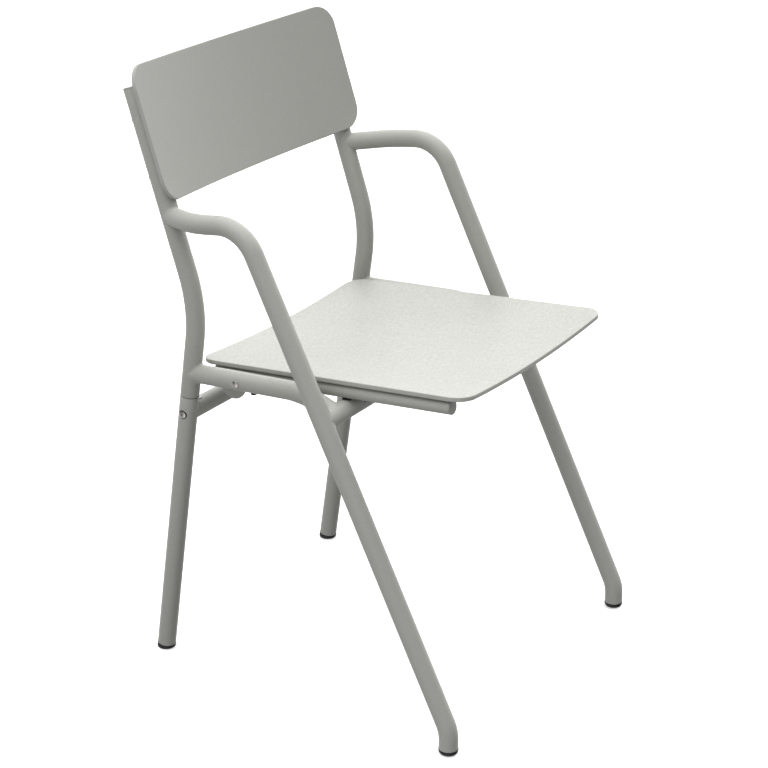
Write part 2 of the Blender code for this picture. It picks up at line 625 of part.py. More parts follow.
def make_back(body, finishes):
    """Back panel and the screws that hold it from behind."""
    half_width = PANEL_WIDTH / 2
    panel = add_object("back_panel", bent_plate(half_width, PANEL_BOTTOM, PANEL_TOP, PANEL_T, PANEL_CORNER_R,
                                                PANEL_BEND_R, PANEL_STRIPS, panel_place),
                       finishes["powder_coat"], body)
    for side, sign in SIDES.items():
        rearwards = (X_AXIS * (sign * UPRIGHT_X) + BACK_REAR * PANEL_DEPTH).normalized()
        for row, level in enumerate(("lower", "upper")):
            along = PANEL_BOTTOM + PANEL_SCREW_INSET + row * PANEL_SCREW_PITCH
            axis_point = at_x(UPRIGHT_BEND + BACK_UP * along, sign * UPRIGHT_X)
            name = side + "_back_screw_" + level
            holes = [bpy.data.objects[side + "_upright"], panel]
            make_screw(name, axis_point, rearwards, TUBE_R, (BACK_HEAD_R, BACK_HEAD_H), holes,
                       finishes["stainless"], body)


def make_screw(name, axis_point, out, tube_r, head_size, holes, finish, body):
    """Screw through a tube of radius tube_r into the plate that lies on its far side."""
    head = axis_point + out * (tube_r + FIT)
    shank = 2 * tube_r + 2 * FIT + SCREW_BITE
    profile = bolt_profile(SCREW_R, shank, *head_size)
    hint = Vector((0, 1, 0)) if abs(out.z) > 0.5 else Z_AXIS
    add_object(name, turned(profile, axis_frame(head, out, hint)), finish, body)
    hole = drill(name + "_hole", SCREW_R + FIT, head - out * (shank + SCREW_HOLE_END), head + out * tube_r)
    for piece in holes:
        cut(piece, hole)


def make_seat(body, finishes):
    """Seat panel on its two rails, with everything that flips up with it."""
    coat = finishes["powder_coat"]
    half_width = SEAT_DISH_R * math.asin(SEAT_HALF_W / SEAT_DISH_R)
    bm = bent_plate(half_width, -SEAT_FRONT_REACH, SEAT_REAR_REACH, SEAT_T, SEAT_CORNER_R, SEAT_DISH_R,
                    SEAT_STRIPS, seat_place)
    panel = add_object("seat_panel", bm, coat, body)
    for side, sign in SIDES.items():
        centre = at_x(SEAT_RAIL, sign * SEAT_RAIL_X)
        ends = {"front": -SEAT_FRONT_REACH + SEAT_RAIL_INSET, "rear": SEAT_REAR_REACH - SEAT_RAIL_INSET}
        axis = [centre + SEAT_REAR * along for along in ends.values()]
        rail = add_object(side + "_seat_rail", sweep(axis, SEAT_RAIL_R, SEAT_RAIL_BORE_R), coat, body)
        cut(rail, pivot_drill(side, sign))
        for end, along in ends.items():
            outward = SEAT_REAR * math.copysign(1, along)
            frame = axis_frame(centre + SEAT_REAR * along + outward * FIT, outward, X_AXIS)
            plug = turned(plug_profile(SEAT_RAIL_BORE_R, SEAT_RAIL_R), frame, TUBE_SIDES)
            add_object(side + "_rail_plug_" + end, plug, finishes["plastic"], body)
        downwards = (X_AXIS * (sign * SEAT_RAIL_X) - SEAT_UP * SEAT_DEPTH).normalized()
        for end, ahead in (("front", SEAT_SCREW_FRONT), ("rear", SEAT_SCREW_REAR)):
            make_screw(side + "_seat_screw_" + end, centre - SEAT_REAR * ahead, downwards, SEAT_RAIL_R,
                       (SEAT_HEAD_R, SEAT_HEAD_H), [rail, panel], finishes["stainless"], body)
        make_stop_lug(body, coat, side, centre)


def make_stop_lug(body, coat, side, centre):
    """Round-ended plate that hangs under the seat rail behind the pivot."""
    frame = Matrix((X_AXIS, SEAT_REAR, SEAT_UP)).transposed().to_4x4()
    frame.translation = centre + SEAT_REAR * LUG_SETBACK
    bm = bmesh.new()
    top = -SEAT_RAIL_R - FIT
    start = bm.verts.new((-LUG_T / 2, LUG_R, -LUG_DROP))
    bmesh.ops.spin(bm, geom=[start], cent=(0, 0, -LUG_DROP), axis=(1, 0, 0), angle=-math.pi,
                   steps=2 * CORNER_STEPS)
    bm.verts.ensure_lookup_table()
    ends = sorted(bm.verts, key=lambda vert: vert.co.z)[-2:]
    ends.sort(key=lambda vert: vert.co.y)
    shoulders = [bm.verts.new((-LUG_T / 2, vert.co.y, top)) for vert in ends]
    for end, shoulder in zip(ends, shoulders):
        bm.edges.new((end, shoulder))
    bm.edges.new(shoulders)
    face = bmesh.ops.contextual_create(bm, geom=bm.edges[:])["faces"]
    made = bmesh.ops.extrude_face_region(bm, geom=face)["geom"]
    far_side = [item for item in made if isinstance(item, bmesh.types.BMVert)]
    bmesh.ops.translate(bm, vec=(LUG_T, 0, 0), verts=far_side)
    bmesh.ops.transform(bm, matrix=frame, verts=bm.verts)
    add_object(side + "_stop_lug", bm, coat, body)


def add_empty(name, place, parent=None):
    empty = bpy.data.objects.new(name, None)
    bpy.context.collection.objects.link(empty)
    empty.location = place
    if parent:
        empty.parent = parent
    bpy.context.view_layer.update()
    return empty


def main():
    for item in list(bpy.data.objects):
        bpy.data.objects.remove(item)
    finishes = {
        "powder_coat": material("powder_coat", (0.42, 0.43, 0.39), 0.45, 0.0),
        "stainless": material("stainless", (0.62, 0.60, 0.58), 0.25, 1.0),
        "rubber": material("rubber", (0.015, 0.015, 0.015), 0.7, 0.0),
        "plastic": material("plastic", (0.30, 0.31, 0.29), 0.5, 0.0),
    }
    chair = add_empty("chair", (0, 0, 0))
    seat_pivot = add_empty("seat_pivot", PIVOT, chair)
    rear_leg_hinge = add_empty("rear_leg_hinge", HINGE, chair)
    make_frame(chair, finishes)
    make_back(chair, finishes)
    make_rear_legs(rear_leg_hinge, finishes)
    make_seat(seat_pivot, finishes)


main()
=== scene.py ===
"""Looks of a tubular garden armchair with a flip-up seat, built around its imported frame.

Metres, +Z up. The chair faces -Y and its left side is +X.
"""

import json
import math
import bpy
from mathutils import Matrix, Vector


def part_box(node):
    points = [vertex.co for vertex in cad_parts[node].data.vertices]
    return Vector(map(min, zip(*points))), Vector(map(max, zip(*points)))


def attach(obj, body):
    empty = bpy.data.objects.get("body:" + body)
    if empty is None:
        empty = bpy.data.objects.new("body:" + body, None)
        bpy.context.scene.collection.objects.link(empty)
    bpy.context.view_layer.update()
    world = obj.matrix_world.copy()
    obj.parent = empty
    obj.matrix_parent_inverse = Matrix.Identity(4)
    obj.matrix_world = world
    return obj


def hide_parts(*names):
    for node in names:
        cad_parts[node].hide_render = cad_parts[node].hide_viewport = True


bl_info = {
    "name": "Garden Armchair",
    "version": (1, 0, 0),
    "blender": (4, 5, 0),
    "location": "View3D > Sidebar > Chair",
    "description": "Dresses the frame of a tubular garden armchair and sets up its studio",
    "category": "Object",
}

import bmesh
import bpy
from bpy.props import FloatProperty, FloatVectorProperty, IntProperty, PointerProperty
from mathutils import Matrix, Vector

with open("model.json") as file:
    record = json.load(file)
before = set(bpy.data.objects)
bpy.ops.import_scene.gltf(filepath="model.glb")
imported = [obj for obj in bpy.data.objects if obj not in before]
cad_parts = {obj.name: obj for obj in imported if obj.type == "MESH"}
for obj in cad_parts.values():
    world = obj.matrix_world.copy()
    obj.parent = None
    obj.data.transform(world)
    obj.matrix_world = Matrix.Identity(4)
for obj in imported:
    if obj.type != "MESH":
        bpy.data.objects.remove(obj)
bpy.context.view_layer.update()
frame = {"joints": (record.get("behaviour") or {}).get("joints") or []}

X_AXIS = Vector((1, 0, 0))
Y_AXIS = Vector((0, 1, 0))
Z_AXIS = Vector((0, 0, 1))
SIDES = {"left": 1, "right": -1}
SMOOTH_ANGLE = math.radians(40)
AXIS_MERGE = 1e-6
SHAPE_MERGE = 1e-5
TURNED_SIDES = 48
HALF_FACET = Matrix.Rotation(math.pi / TURNED_SIDES, 4, "Z")
FLOOR_HALF = 150.0
JOINTS = {joint["name"]: Vector(joint["pos_m"]) for joint in frame["joints"]}


def middle(node):
    low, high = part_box(node)
    return (low + high) / 2


def extent(node):
    low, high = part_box(node)
    return high - low


def kind(maker, **fixed):
    """Shorthand for properties of one kind, given by name, default and description."""
    def made(name, default, description):
        return maker(name=name, default=default, description=description, **fixed)
    return made


length = kind(FloatProperty, min=0.0, unit="LENGTH", precision=5)
amount = kind(FloatProperty, min=0.0)
whole_number = kind(IntProperty, min=4)
colour = kind(FloatVectorProperty, size=3, min=0.0, max=1.0, subtype="COLOR")
heading = kind(FloatVectorProperty, size=3, subtype="DIRECTION")
position = kind(FloatVectorProperty, size=3, subtype="TRANSLATION", precision=4)


def angle(name, degrees, description):
    return FloatProperty(name=name, default=math.radians(degrees), description=description, subtype="ANGLE")


class TubeSizes(bpy.types.PropertyGroup):
    """Tubes of the frame and the lines that they follow."""

    tube_d: length("Tube", extent("left_rear_leg").x, "Outer diameter of the frame's tubes")
    wall: length("Wall", 0.002, "Wall of the frame's tubes")
    seat_rail_d: length("Seat rail", extent("left_seat_rail").x, "Outer diameter of the rails under the seat")
    seat_rail_wall: length("Seat rail wall", 0.0015, "Wall of the rails under the seat")
    rear_cross_d: length("Rear cross tube", extent("rear_cross_tube").z, "Diameter of the rear cross tube")
    rear_rake: angle("Rear rake", 8.3, "Lean of the rear legs and lower uprights")
    front_rake: angle("Front rake", 26.04, "Lean of the front legs")
    back_lean: angle("Back lean", 18.1, "Lean of the upper uprights")
    seat_slope: angle("Seat slope", 4.2, "Rise of the seat towards its front")
    rail_slope: angle("Rail slope", 3.2, "Rise of the side rails towards their front")
    arm_slope: angle("Arm slope", 7.1, "Rise of the arms towards their front")
    arm_bow: angle("Arm bow", 28.0, "Angle at which an arm leaves its upright")
    bend_rise: length("Bend rise", 0.0919, "Height of the upright's bend above the side rail's root")
    arm_rise: length("Arm rise", 0.122, "Arm above the upright's bend, along the upright")
    foot_bend: length("Foot bend", 0.0314, "Height at which the front legs turn upright")
    rail_drop_run: length("Rail drop run", 0.050, "Level length of the side rail's dropped end")
    upright_bend_r: length("Upright bend", 0.200, "Bend radius of the uprights")
    arm_bow_r: length("Arm bow radius", 0.100, "Bend radius where an arm turns forward")
    arm_corner_r: length("Arm corner", 0.058, "Bend radius where an arm turns down")
    foot_bend_r: length("Foot bend radius", 0.050, "Bend radius above the front feet")
    rail_bend_r: length("Rail bend radius", 0.125, "Bend radius of the side rails")
    seam: length("Seam", 0.0012, "Gap between upright and rear leg")
    fillet: length("Weld", 0.0055, "Leg of the smooth welds of the front cross tube")
    bead: length("Small weld", 0.0009, "Leg of the small welds of the arms and the rear cross tube")
    rail_weld: length("Rail weld", 0.0048, "Leg of the side rails' welds, above and below")
    end_round: length("End rounding", 0.0002, "Rounding of a tube's cut end")
    facets: whole_number("Facets", 48, "Sides of a round tube")


class PlateSizes(bpy.types.PropertyGroup):
    """Seat panel and back panel."""

    seat_t: length("Seat thickness", 0.006, "Thickness of the seat panel")
    seat_dish_r: length("Seat dish", 2.13, "Radius of the seat's dish across its width")
    seat_corner_r: length("Seat corner", 0.025, "Corner radius of the seat panel")
    seat_half_w: length("Seat half width", extent("seat_panel").x / 2, "Half of the seat's width")
    seat_front: length("Seat front", 0.3223, "Seat ahead of its pivot")
    seat_rear: length("Seat rear", 0.0788, "Seat behind its pivot")
    rail_inset: length("Rail inset", 0.0255, "Seat rail's end inside the seat's edge")
    rail_drop: length("Rail drop", 0.0006, "Seat rail's axis below the pivot")
    panel_t: length("Panel thickness", 0.005, "Thickness of the back panel")
    panel_bend_r: length("Panel bend", 1.0, "Radius of the back panel's curve")
    panel_corner_r: length("Panel corner", 0.030, "Corner radius of the back panel")
    panel_width: length("Panel width", 0.449, "Width of the back panel round its curve")
    panel_bottom: length("Panel bottom", 0.140, "Back panel's lower edge above the upright's bend")
    panel_top: length("Panel top", 0.315, "Back panel's upper edge above the upright's bend")
    edge_round: length("Edge rounding", 0.0012, "Rounding of the panels' edges")
    strips: whole_number("Strips", 48, "Facets across a bent panel")


class HardwareSizes(bpy.types.PropertyGroup):
    """Hinges, bolts, screws, plugs and feet."""

    fit: length("Fit", 0.0003, "Clearance between touching pieces")
    knuckle_r: length("Knuckle", 0.0024, "Radius of the hinge's knuckles")
    knuckle_w: length("Knuckle width", 0.003, "Width of the hinge's middle knuckle")
    ear_w: length("Ear width", 0.0013, "Width of each outer knuckle")
    standoff: length("Hinge standoff", 0.0014, "Gap between the knuckles and the tube")
    tongue_t: length("Tongue", 0.0022, "Thickness of the strips that carry the knuckles")
    socket_l: length("Socket", 0.026, "Length of the hinge socket in the upright")
    fork_l: length("Fork", 0.045, "Length of the hinge fork in the rear leg")
    pin_r: length("Pin", 0.0011, "Radius of the hinge pin")
    pin_head_r: length("Pin head", 0.0019, "Radius of the hinge pin's heads")
    pin_head_t: length("Pin head height", 0.0005, "Height of the hinge pin's heads")
    pivot_r: length("Pivot bolt", 0.0025, "Radius of the seat's pivot bolts")
    pivot_head_r: length("Pivot head", 0.00475, "Radius of the pivot bolts' heads")
    pivot_head_h: length("Pivot head height", 0.0027, "Height of the pivot bolts' heads")
    washer_r: length("Washer", 0.007, "Radius of the pivot washers")
    nut_r: length("Nut", 0.0046, "Radius over the corners of the pivot nuts")
    fork_bolt_r: length("Fork bolt", 0.003, "Radius of the bolts in the rear legs")
    fork_head_r: length("Fork head", 0.0049, "Radius of those bolts' heads")
    fork_hole_r: length("Fork hole", 0.0060, "Radius of the holes that those heads sit in")
    fork_head_h: length("Fork head height", 0.0033, "Height of those bolts' heads")
    screw_r: length("Screw", 0.0025, "Radius of the panels' screws")
    back_head_r: length("Back screw head", 0.0036, "Radius of the back screws' heads")
    back_head_h: length("Back screw head height", 0.0008, "Height of the back screws' heads")
    seat_head_r: length("Seat screw head", 0.0042, "Radius of the seat screws' heads")
    seat_head_h: length("Seat screw head height", 0.0006, "Height of the seat screws' heads")
    screw_bite: length("Screw bite", 0.0033, "Depth of the screws in the panels")
    screw_inset: length("Back screw inset", 0.035, "Lower back screw above the panel's edge")
    screw_pitch: length("Back screw pitch", 0.075, "Distance between two back screws")
    seat_screw_front: length("Front seat screw", 0.175, "Front seat screw ahead of the pivot")
    seat_screw_rear: length("Rear seat screw", 0.060, "Rear seat screw ahead of the pivot")
    plug_t: length("Plug", 0.0015, "Thickness of the plugs' caps")
    plug_l: length("Plug spigot", 0.012, "Length of the plugs' spigots")
    foot_h: length("Foot", 0.0070, "Height of the feet below the tubes")
    foot_lip: length("Foot lip", 0.0003, "Feet standing proud of the tubes")
    foot_l: length("Foot spigot", 0.015, "Length of the feet's spigots")
    pad_r: length("Pad", 0.006, "Radius of the pads under the seat rails")
    pad_t: length("Pad height", 0.0008, "Height of the pads under the seat rails")
    buffer_r: length("Buffer", 0.004, "Radius of the buffers under the side rails")
    buffer_h: length("Buffer height", 0.0025, "Height of the buffers under the side rails")
    buffer_l: length("Buffer stem", 0.005, "Length of the buffers' stems")
    buffer_ahead: length("Buffer ahead", 0.019, "Buffers ahead of the pivot, along the side rails")
    lug_r: length("Lug", 0.0188, "Radius of the stop lugs")
    lug_t: length("Lug thickness", 0.004, "Thickness of the stop lugs")
    lug_drop: length("Lug drop", 0.0175, "Lug's centre below the seat rail's axis")
    lug_setback: length("Lug setback", 0.0322, "Lug's centre behind the pivot")


class FinishLooks(bpy.types.PropertyGroup):
    """Colours and grain of the finishes."""

    coat: colour("Powder coat", (0.370, 0.374, 0.345), "Light grey-green powder coat")
    coat_rough: amount("Coat roughness", 0.58, "Mean roughness of the powder coat")
    coat_grain: amount("Coat grain", 270.0, "Grains of the powder coat per metre")
    steel: colour("Stainless steel", (0.58, 0.56, 0.54), "Bolts, pins and hinges")
    rubber: colour("Rubber", (0.007, 0.007, 0.007), "Feet, pads and buffers")
    plastic: colour("Plastic", (0.33, 0.34, 0.31), "Plugs and washers")


class StudioLooks(bpy.types.PropertyGroup):
    """Floor, light and camera."""

    floor: colour("Floor", (0.86, 0.86, 0.86), "Pale studio floor")
    glow: amount("Floor glow", 0.35, "Light of its own that keeps the floor white in the shade")
    softness: amount("Softness", 3.3, "Power of the cosine by which each patch of light fades out")
    overhead: amount("Overhead", 3.55, "Brightness of the soft light above")
    overhead_at: heading("Overhead direction", (-0.07, 0.048, 0.996), "Where the light above comes from")
    left_wall: amount("Left wall", 3.39, "Brightness of the soft light on the chair's left")
    left_wall_at: heading("Left wall direction", (0.980, 0.138, 0.146), "Where the left light comes from")
    low_right: amount("Low right", 1.14, "Brightness of the fill from low on the chair's right")
    low_right_at: heading("Low right direction", (-0.829, -0.191, -0.525), "Where the right fill comes from")
    low_rear: amount("Low rear", 1.29, "Brightness of the fill from low behind the chair")
    low_rear_at: heading("Low rear direction", (0.345, 0.889, -0.302), "Where the rear fill comes from")
    key: amount("Key light", 1.2, "Power of the lamp above the chair's right arm")
    key_place: position("Key place", (-0.8, -0.2, 1.4), "Where that lamp stands")
    key_aim: position("Key aim", (0.0, -0.05, 0.45), "Where that lamp points")
    key_size: length("Key size", 0.8, "Width of that lamp")
    azimuth: angle("Azimuth", -57.89, "Camera's turn round the chair")
    elevation: angle("Elevation", 22.18, "Camera's height as an angle")
    distance: length("Distance", 2.858, "Camera's distance from its aim")
    aim: position("Aim", (-0.0040, -0.0044, 0.3718), "Point in the middle of the picture")
    lens: amount("Lens", 100.3, "Focal length in millimetres")


class ChairSettings(bpy.types.PropertyGroup):
    """Everything a user would change."""

    tubes: PointerProperty(type=TubeSizes)
    plates: PointerProperty(type=PlateSizes)
    hardware: PointerProperty(type=HardwareSizes)
    finishes: PointerProperty(type=FinishLooks)
    studio: PointerProperty(type=StudioLooks)


def leaning(lean):
    """Unit vector that leans from straight up towards the rear, or the front where lean is negative."""
    return Vector((0, math.sin(lean), math.cos(lean)))


def meet(point_a, along_a, point_b, along_b):
    """Crossing of two lines in the YZ plane."""
    gap = point_b - point_a
    cross = along_a.y * along_b.z - along_a.z * along_b.y
    return point_a + along_a * ((gap.y * along_b.z - gap.z * along_b.y) / cross)


def at_x(point, x):
    return Vector((x, point.y, point.z))


class Layout:
    """Settings of the chair, with the lines and points of its middle plane and where they lie on one side."""

    def __init__(self, context, side="", sign=0):
        settings = context.scene.garden_chair
        self.side = side
        self.sign = sign
        self.outward = X_AXIS * sign
        self.tubes = settings.tubes
        self.plates = settings.plates
        self.hardware = settings.hardware
        self.tube_r = self.tubes.tube_d / 2
        self.bore_r = self.tube_r - self.tubes.wall
        # Tube ends are shaped to this radius, a little inside the tube that they are welded to.
        self.sunk_r = self.tube_r - self.tubes.wall / 2
        self.foot_r = self.tube_r + self.hardware.foot_lip
        self.rail_r = self.tubes.seat_rail_d / 2
        self.upright_x = middle("left_rear_leg").x
        self.leg_x = middle("left_front_foot").x
        self.rail_x = middle("left_seat_rail").x
        self.pivot = JOINTS["seat_flip"]
        self.hinge = JOINTS["rear_leg_fold"]
        self.set_directions(self.tubes)
        self.set_uprights(self.tubes)
        self.set_legs_and_rails(self.tubes)
        self.set_panels(self.plates, self.hardware.fit)

    def set_directions(self, tubes):
        self.leg_up = leaning(-tubes.rear_rake)
        self.leg_rear = self.leg_up.cross(X_AXIS)
        self.back_up = leaning(tubes.back_lean)
        self.back_rear = self.back_up.cross(X_AXIS)
        self.front_up = leaning(tubes.front_rake)
        self.seat_up = leaning(tubes.seat_slope)
        self.seat_rear = self.seat_up.cross(X_AXIS)
        self.rail_up = leaning(tubes.rail_slope)
        self.rail_forward = X_AXIS.cross(self.rail_up)
        self.arm_forward = Vector((0, -math.cos(tubes.arm_slope), math.sin(tubes.arm_slope)))

    def set_uprights(self, tubes):
        hardware = self.hardware
        self.hinge_offset = self.tube_r + hardware.standoff + hardware.knuckle_r
        self.ear_x = hardware.knuckle_w / 2 + hardware.fit + hardware.ear_w / 2
        self.seam = self.hinge + self.leg_rear * self.hinge_offset
        self.rear_foot = self.on_leg(0)
        self.rail_root = meet(self.pivot, self.rail_forward, self.seam, self.leg_up)
        self.bend = self.on_leg(self.rail_root.z + tubes.bend_rise)
        self.top = self.bend + self.back_up * self.upper_length()
        self.arm_root = self.bend + self.back_up * tubes.arm_rise

    def set_legs_and_rails(self, tubes):
        self.front_foot = Vector((0, middle("left_front_foot").y, 0))
        self.foot_bend = self.front_foot + Z_AXIS * tubes.foot_bend
        self.arm_corner = meet(self.arm_root, self.arm_forward, self.foot_bend, self.front_up)
        self.front_cross = at_x(middle("front_cross_tube"), 0)
        self.rear_cross = at_x(middle("rear_cross_tube"), 0)
        drop = self.front_cross + Y_AXIS * tubes.rail_drop_run
        self.rail_bend = meet(self.pivot, self.rail_forward, drop, Z_AXIS)
        self.seat_rail = self.pivot - self.seat_up * self.plates.rail_drop

    def set_panels(self, plates, fit):
        behind_panel = plates.panel_bend_r + plates.panel_t + fit + self.tube_r
        self.panel_depth = cradle_depth(behind_panel, self.upright_x)
        below_seat = plates.seat_dish_r + plates.seat_t + fit + self.rail_r
        self.seat_depth = cradle_depth(below_seat, self.rail_x)

    def on_leg(self, height):
        """Point on the line of the rear leg and lower upright."""
        return self.seam + self.leg_up * ((height - self.seam.z) / self.leg_up.z)

    def upper_length(self):
        """Length of the upright above its bend, read from its highest point."""
        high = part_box("left_upright")[1].z
        corner = self.tube_r * -self.back_rear.z
        return (high - corner - self.bend.z) / self.back_up.z

    def panel_point(self, turn, along, radius):
        across = X_AXIS * (radius * math.sin(turn))
        behind = self.back_rear * (radius * math.cos(turn) - self.panel_depth)
        return self.bend + self.back_up * along + across + behind

    def seat_point(self, turn, along, radius):
        across = X_AXIS * (radius * math.sin(turn))
        below = self.seat_up * (radius * math.cos(turn) - self.seat_depth)
        return self.seat_rail + self.seat_rear * along + across - below

    def seam_frame(self):
        """Frame at the seam's centre: Z up the rear leg, Y to the rear."""
        return axis_frame(self.at_upright(self.seam), self.leg_up, X_AXIS)

    def at_upright(self, point):
        return at_x(point, self.sign * self.upright_x)

    def at_leg(self, point):
        return at_x(point, self.sign * self.leg_x)

    def at_rail(self, point):
        return at_x(point, self.sign * self.rail_x)

    def node(self, name):
        return self.side + "_" + name

    def add(self, name, bm, body, slot, node=None, weighted=False):
        """Add a piece of this side, standing for one of its CAD nodes."""
        add_piece(self.node(name), bm, body, slot, node and self.node(node), weighted)

    def frame_tube(self, points, end_round=0.0):
        return tube(points, self.tube_r, self.bore_r, self.tubes.facets, end_round)

    def arm_bow(self):
        """Where an arm turns forward, in the plane of the front legs."""
        run = (self.leg_x - self.upright_x) / math.tan(self.tubes.arm_bow)
        return self.arm_root + self.arm_forward * (run / -self.arm_forward.y)

    def arm_start(self):
        """Direction in which an arm leaves its upright."""
        return (self.at_leg(self.arm_bow()) - self.at_upright(self.arm_root)).normalized()


def cradle_depth(reach, support_x):
    """Distance from the line between two supports to the centre of a bent panel's curve."""
    return math.sqrt(reach * reach - support_x * support_x)


def axis_frame(origin, z_axis, x_hint):
    """Matrix with its Z along z_axis and its X as near x_hint as it can be."""
    z = z_axis.normalized()
    x = (x_hint - z * x_hint.dot(z)).normalized()
    made = Matrix((x, z.cross(x), z)).transposed().to_4x4()
    made.translation = origin
    return made


def verts_of(items):
    return [item for item in items if isinstance(item, bmesh.types.BMVert)]


def everything(bm):
    return bm.verts[:] + bm.edges[:] + bm.faces[:]


def bent_path(corners, radii, step=math.radians(3)):
    """Points of a bent line, with an arc of the given radius at each inner corner."""
    points = [corners[0]]
    for before, corner, after, radius in zip(corners, corners[1:], corners[2:], radii):
        arriving = (corner - before).normalized()
        leaving = (after - corner).normalized()
        turn = arriving.angle(leaving)
        room = min((corner - before).length, (after - corner).length) / 2
        tangent = min(radius * math.tan(turn / 2), room)
        centre = corner + (leaving - arriving).normalized() * (tangent / math.sin(turn / 2))
        spoke = corner - arriving * tangent - centre
        axis = arriving.cross(leaving).normalized()
        steps = max(2, math.ceil(turn / step))
        points += [centre + Matrix.Rotation(turn * k / steps, 3, axis) @ spoke for k in range(steps + 1)]
    points.append(corners[-1])
    return points


def path_frames(points, hint):
    """A frame at each point of a path, turned along it without twist."""
    steps = [(b - a).normalized() for a, b in zip(points, points[1:])]
    tangents = [steps[0]]
    tangents += [(a + b).normalized() for a, b in zip(steps, steps[1:])]
    tangents.append(steps[-1])
    frames = []
    for point, tangent in zip(points, tangents):
        made = axis_frame(point, tangent, hint)
        hint = made.to_3x3().col[0]
        frames.append(made)
    return frames


def loft(rings, sides, closed):
    """Skin over round rings, given as matrices, each one extruded from the last.

    A closed loft runs back into its first ring. Gives the mesh and the vertices of each ring.
    """
    bm = bmesh.new()
    bmesh.ops.create_circle(bm, cap_ends=False, segments=sides, radius=1.0, matrix=rings[0])
    first = list(bm.edges)
    edges = first
    loops = [list(bm.verts)]
    for last, ring in zip(rings, rings[1:]):
        made = bmesh.ops.extrude_edge_only(bm, edges=edges)["geom"]
        verts = verts_of(made)
        bmesh.ops.transform(bm, matrix=ring @ last.inverted(), verts=verts)
        known = set(verts)
        new_edges = [item for item in made if isinstance(item, bmesh.types.BMEdge)]
        edges = [edge for edge in new_edges if known.issuperset(edge.verts)]
        loops.append(verts)
    if closed:
        bmesh.ops.bridge_loops(bm, edges=edges + first)
    else:
        bmesh.ops.holes_fill(bm, edges=bm.edges)
    return bm, loops


def round_off(bm, geom, radius, segments, affect="EDGES"):
    bmesh.ops.bevel(bm, geom=geom, offset=radius, offset_type="OFFSET", segments=segments, profile=0.5,
                    affect=affect, material=-1)


def tube(points, radius, bore, sides, end_round=0.0, hint=X_AXIS):
    """Open-ended tube along a path. Gives the mesh and the vertices of its two ends."""
    frames = path_frames(points, hint)
    count = len(frames)
    rings = [ring_at(made, radius, 0) for made in frames]
    rings += [ring_at(made, bore, 0) for made in reversed(frames)]
    bm, loops = loft(rings, sides, closed=True)
    ends = (loops[0] + loops[-1], loops[count - 1] + loops[count])
    if end_round:
        rims = [edge for edge in bm.edges if is_rim(edge, loops[0]) or is_rim(edge, loops[count - 1])]
        round_off(bm, rims, end_round, segments=2)
    return bm, ends


def is_rim(edge, loop):
    return edge.verts[0] in loop and edge.verts[1] in loop


def reach_tube(point, along, axis_point, axis, radius):
    """Where a line from point runs out of a round tube, or where it comes nearest to the tube's axis."""
    flat = along - axis * along.dot(axis)
    start = point - axis_point
    start = start - axis * start.dot(axis)
    half = start.dot(flat)
    square = flat.dot(flat)
    inside = max(0.0, half * half - square * (start.dot(start) - radius * radius))
    return point + along * ((math.sqrt(inside) - half) / square)


def cope(verts, along, axis_point, axis, radius):
    """Shape a tube's end to the round tube that it is welded to."""
    for vert in verts:
        vert.co = reach_tube(vert.co, along, axis_point, axis, radius)


def weld(foot, along, branch_r, axis, main_r, size, sides, beside=1.0):
    """Smooth concave weld round the foot of a tube that leaves another one.

    foot is where the two axes meet, and along points up the branch. At its sides the weld has the share
    beside of its size.
    """
    turn = axis_frame(foot, along, along.cross(axis))
    sections = []
    for k in range(sides):
        outward = (turn.to_3x3() @ Matrix.Rotation(2 * math.pi * k / sides, 3, "Z")) @ X_AXIS
        leg = size * (beside + (1 - beside) * abs(outward.dot(axis)))
        corner = reach_tube(foot + outward * branch_r, along, foot, axis, main_r)
        sections.append(weld_section(corner, along, outward, foot, axis, main_r, leg))
    rings = list(zip(*sections))
    bm, loops = loft([ring_at(turn, branch_r, 0)] * len(rings), sides, closed=True)
    for loop, ring in zip(loops, rings):
        for vert, place in zip(sorted(loop, key=lambda v: spin_of(v.co, turn)), ring):
            vert.co = place
    return bm


def weld_section(corner, along, outward, foot, axis, main_r, leg, steps=6):
    """Points of a weld's section: its curve from the branch to the main tube, and one point inside both."""
    sink = leg * 0.03
    buried = leg * 0.3
    start = corner + along * leg - outward * sink
    end = corner + outward * leg
    flare = end - foot
    flare = flare - axis * flare.dot(axis)
    end = end - flare * (1 - (main_r - sink) / flare.length)
    curve = []
    for step in range(steps + 1):
        t = step / steps
        curve.append(start * (1 - t) ** 2 + corner * (2 * t * (1 - t)) + end * t ** 2)
    return curve + [corner - outward * buried - flare.normalized() * buried]


def spin_of(point, turn):
    """Angle of a point round a frame's Z, from 0 to a full turn."""
    local = turn.inverted() @ point
    full = 2 * math.pi
    found = math.atan2(local.y, local.x) % full
    nearly_full = full - 0.01
    return 0.0 if found > nearly_full else found


def turned(profile, place, sides=TURNED_SIDES, ring=False):
    """Solid of revolution about the Z of a matrix, from (radius, height) points on one side."""
    bm = bmesh.new()
    verts = [bm.verts.new((radius, 0, height)) for radius, height in profile]
    pairs = list(zip(verts, verts[1:]))
    if ring:
        pairs.append((verts[-1], verts[0]))
    edges = [bm.edges.new(pair) for pair in pairs]
    bmesh.ops.spin(bm, geom=verts + edges, cent=(0, 0, 0), axis=(0, 0, 1), angle=2 * math.pi, steps=sides,
                   use_merge=True)
    bmesh.ops.remove_doubles(bm, verts=bm.verts, dist=AXIS_MERGE)
    bmesh.ops.transform(bm, matrix=place, verts=bm.verts)
    return bm


def arc(centre, radius, start, end, steps):
    """(radius, height) points of a round in a turned profile, angles in degrees from level."""
    spread = [math.radians(start + (end - start) * k / steps) for k in range(steps + 1)]
    return [(centre[0] + radius * math.cos(a), centre[1] + radius * math.sin(a)) for a in spread]


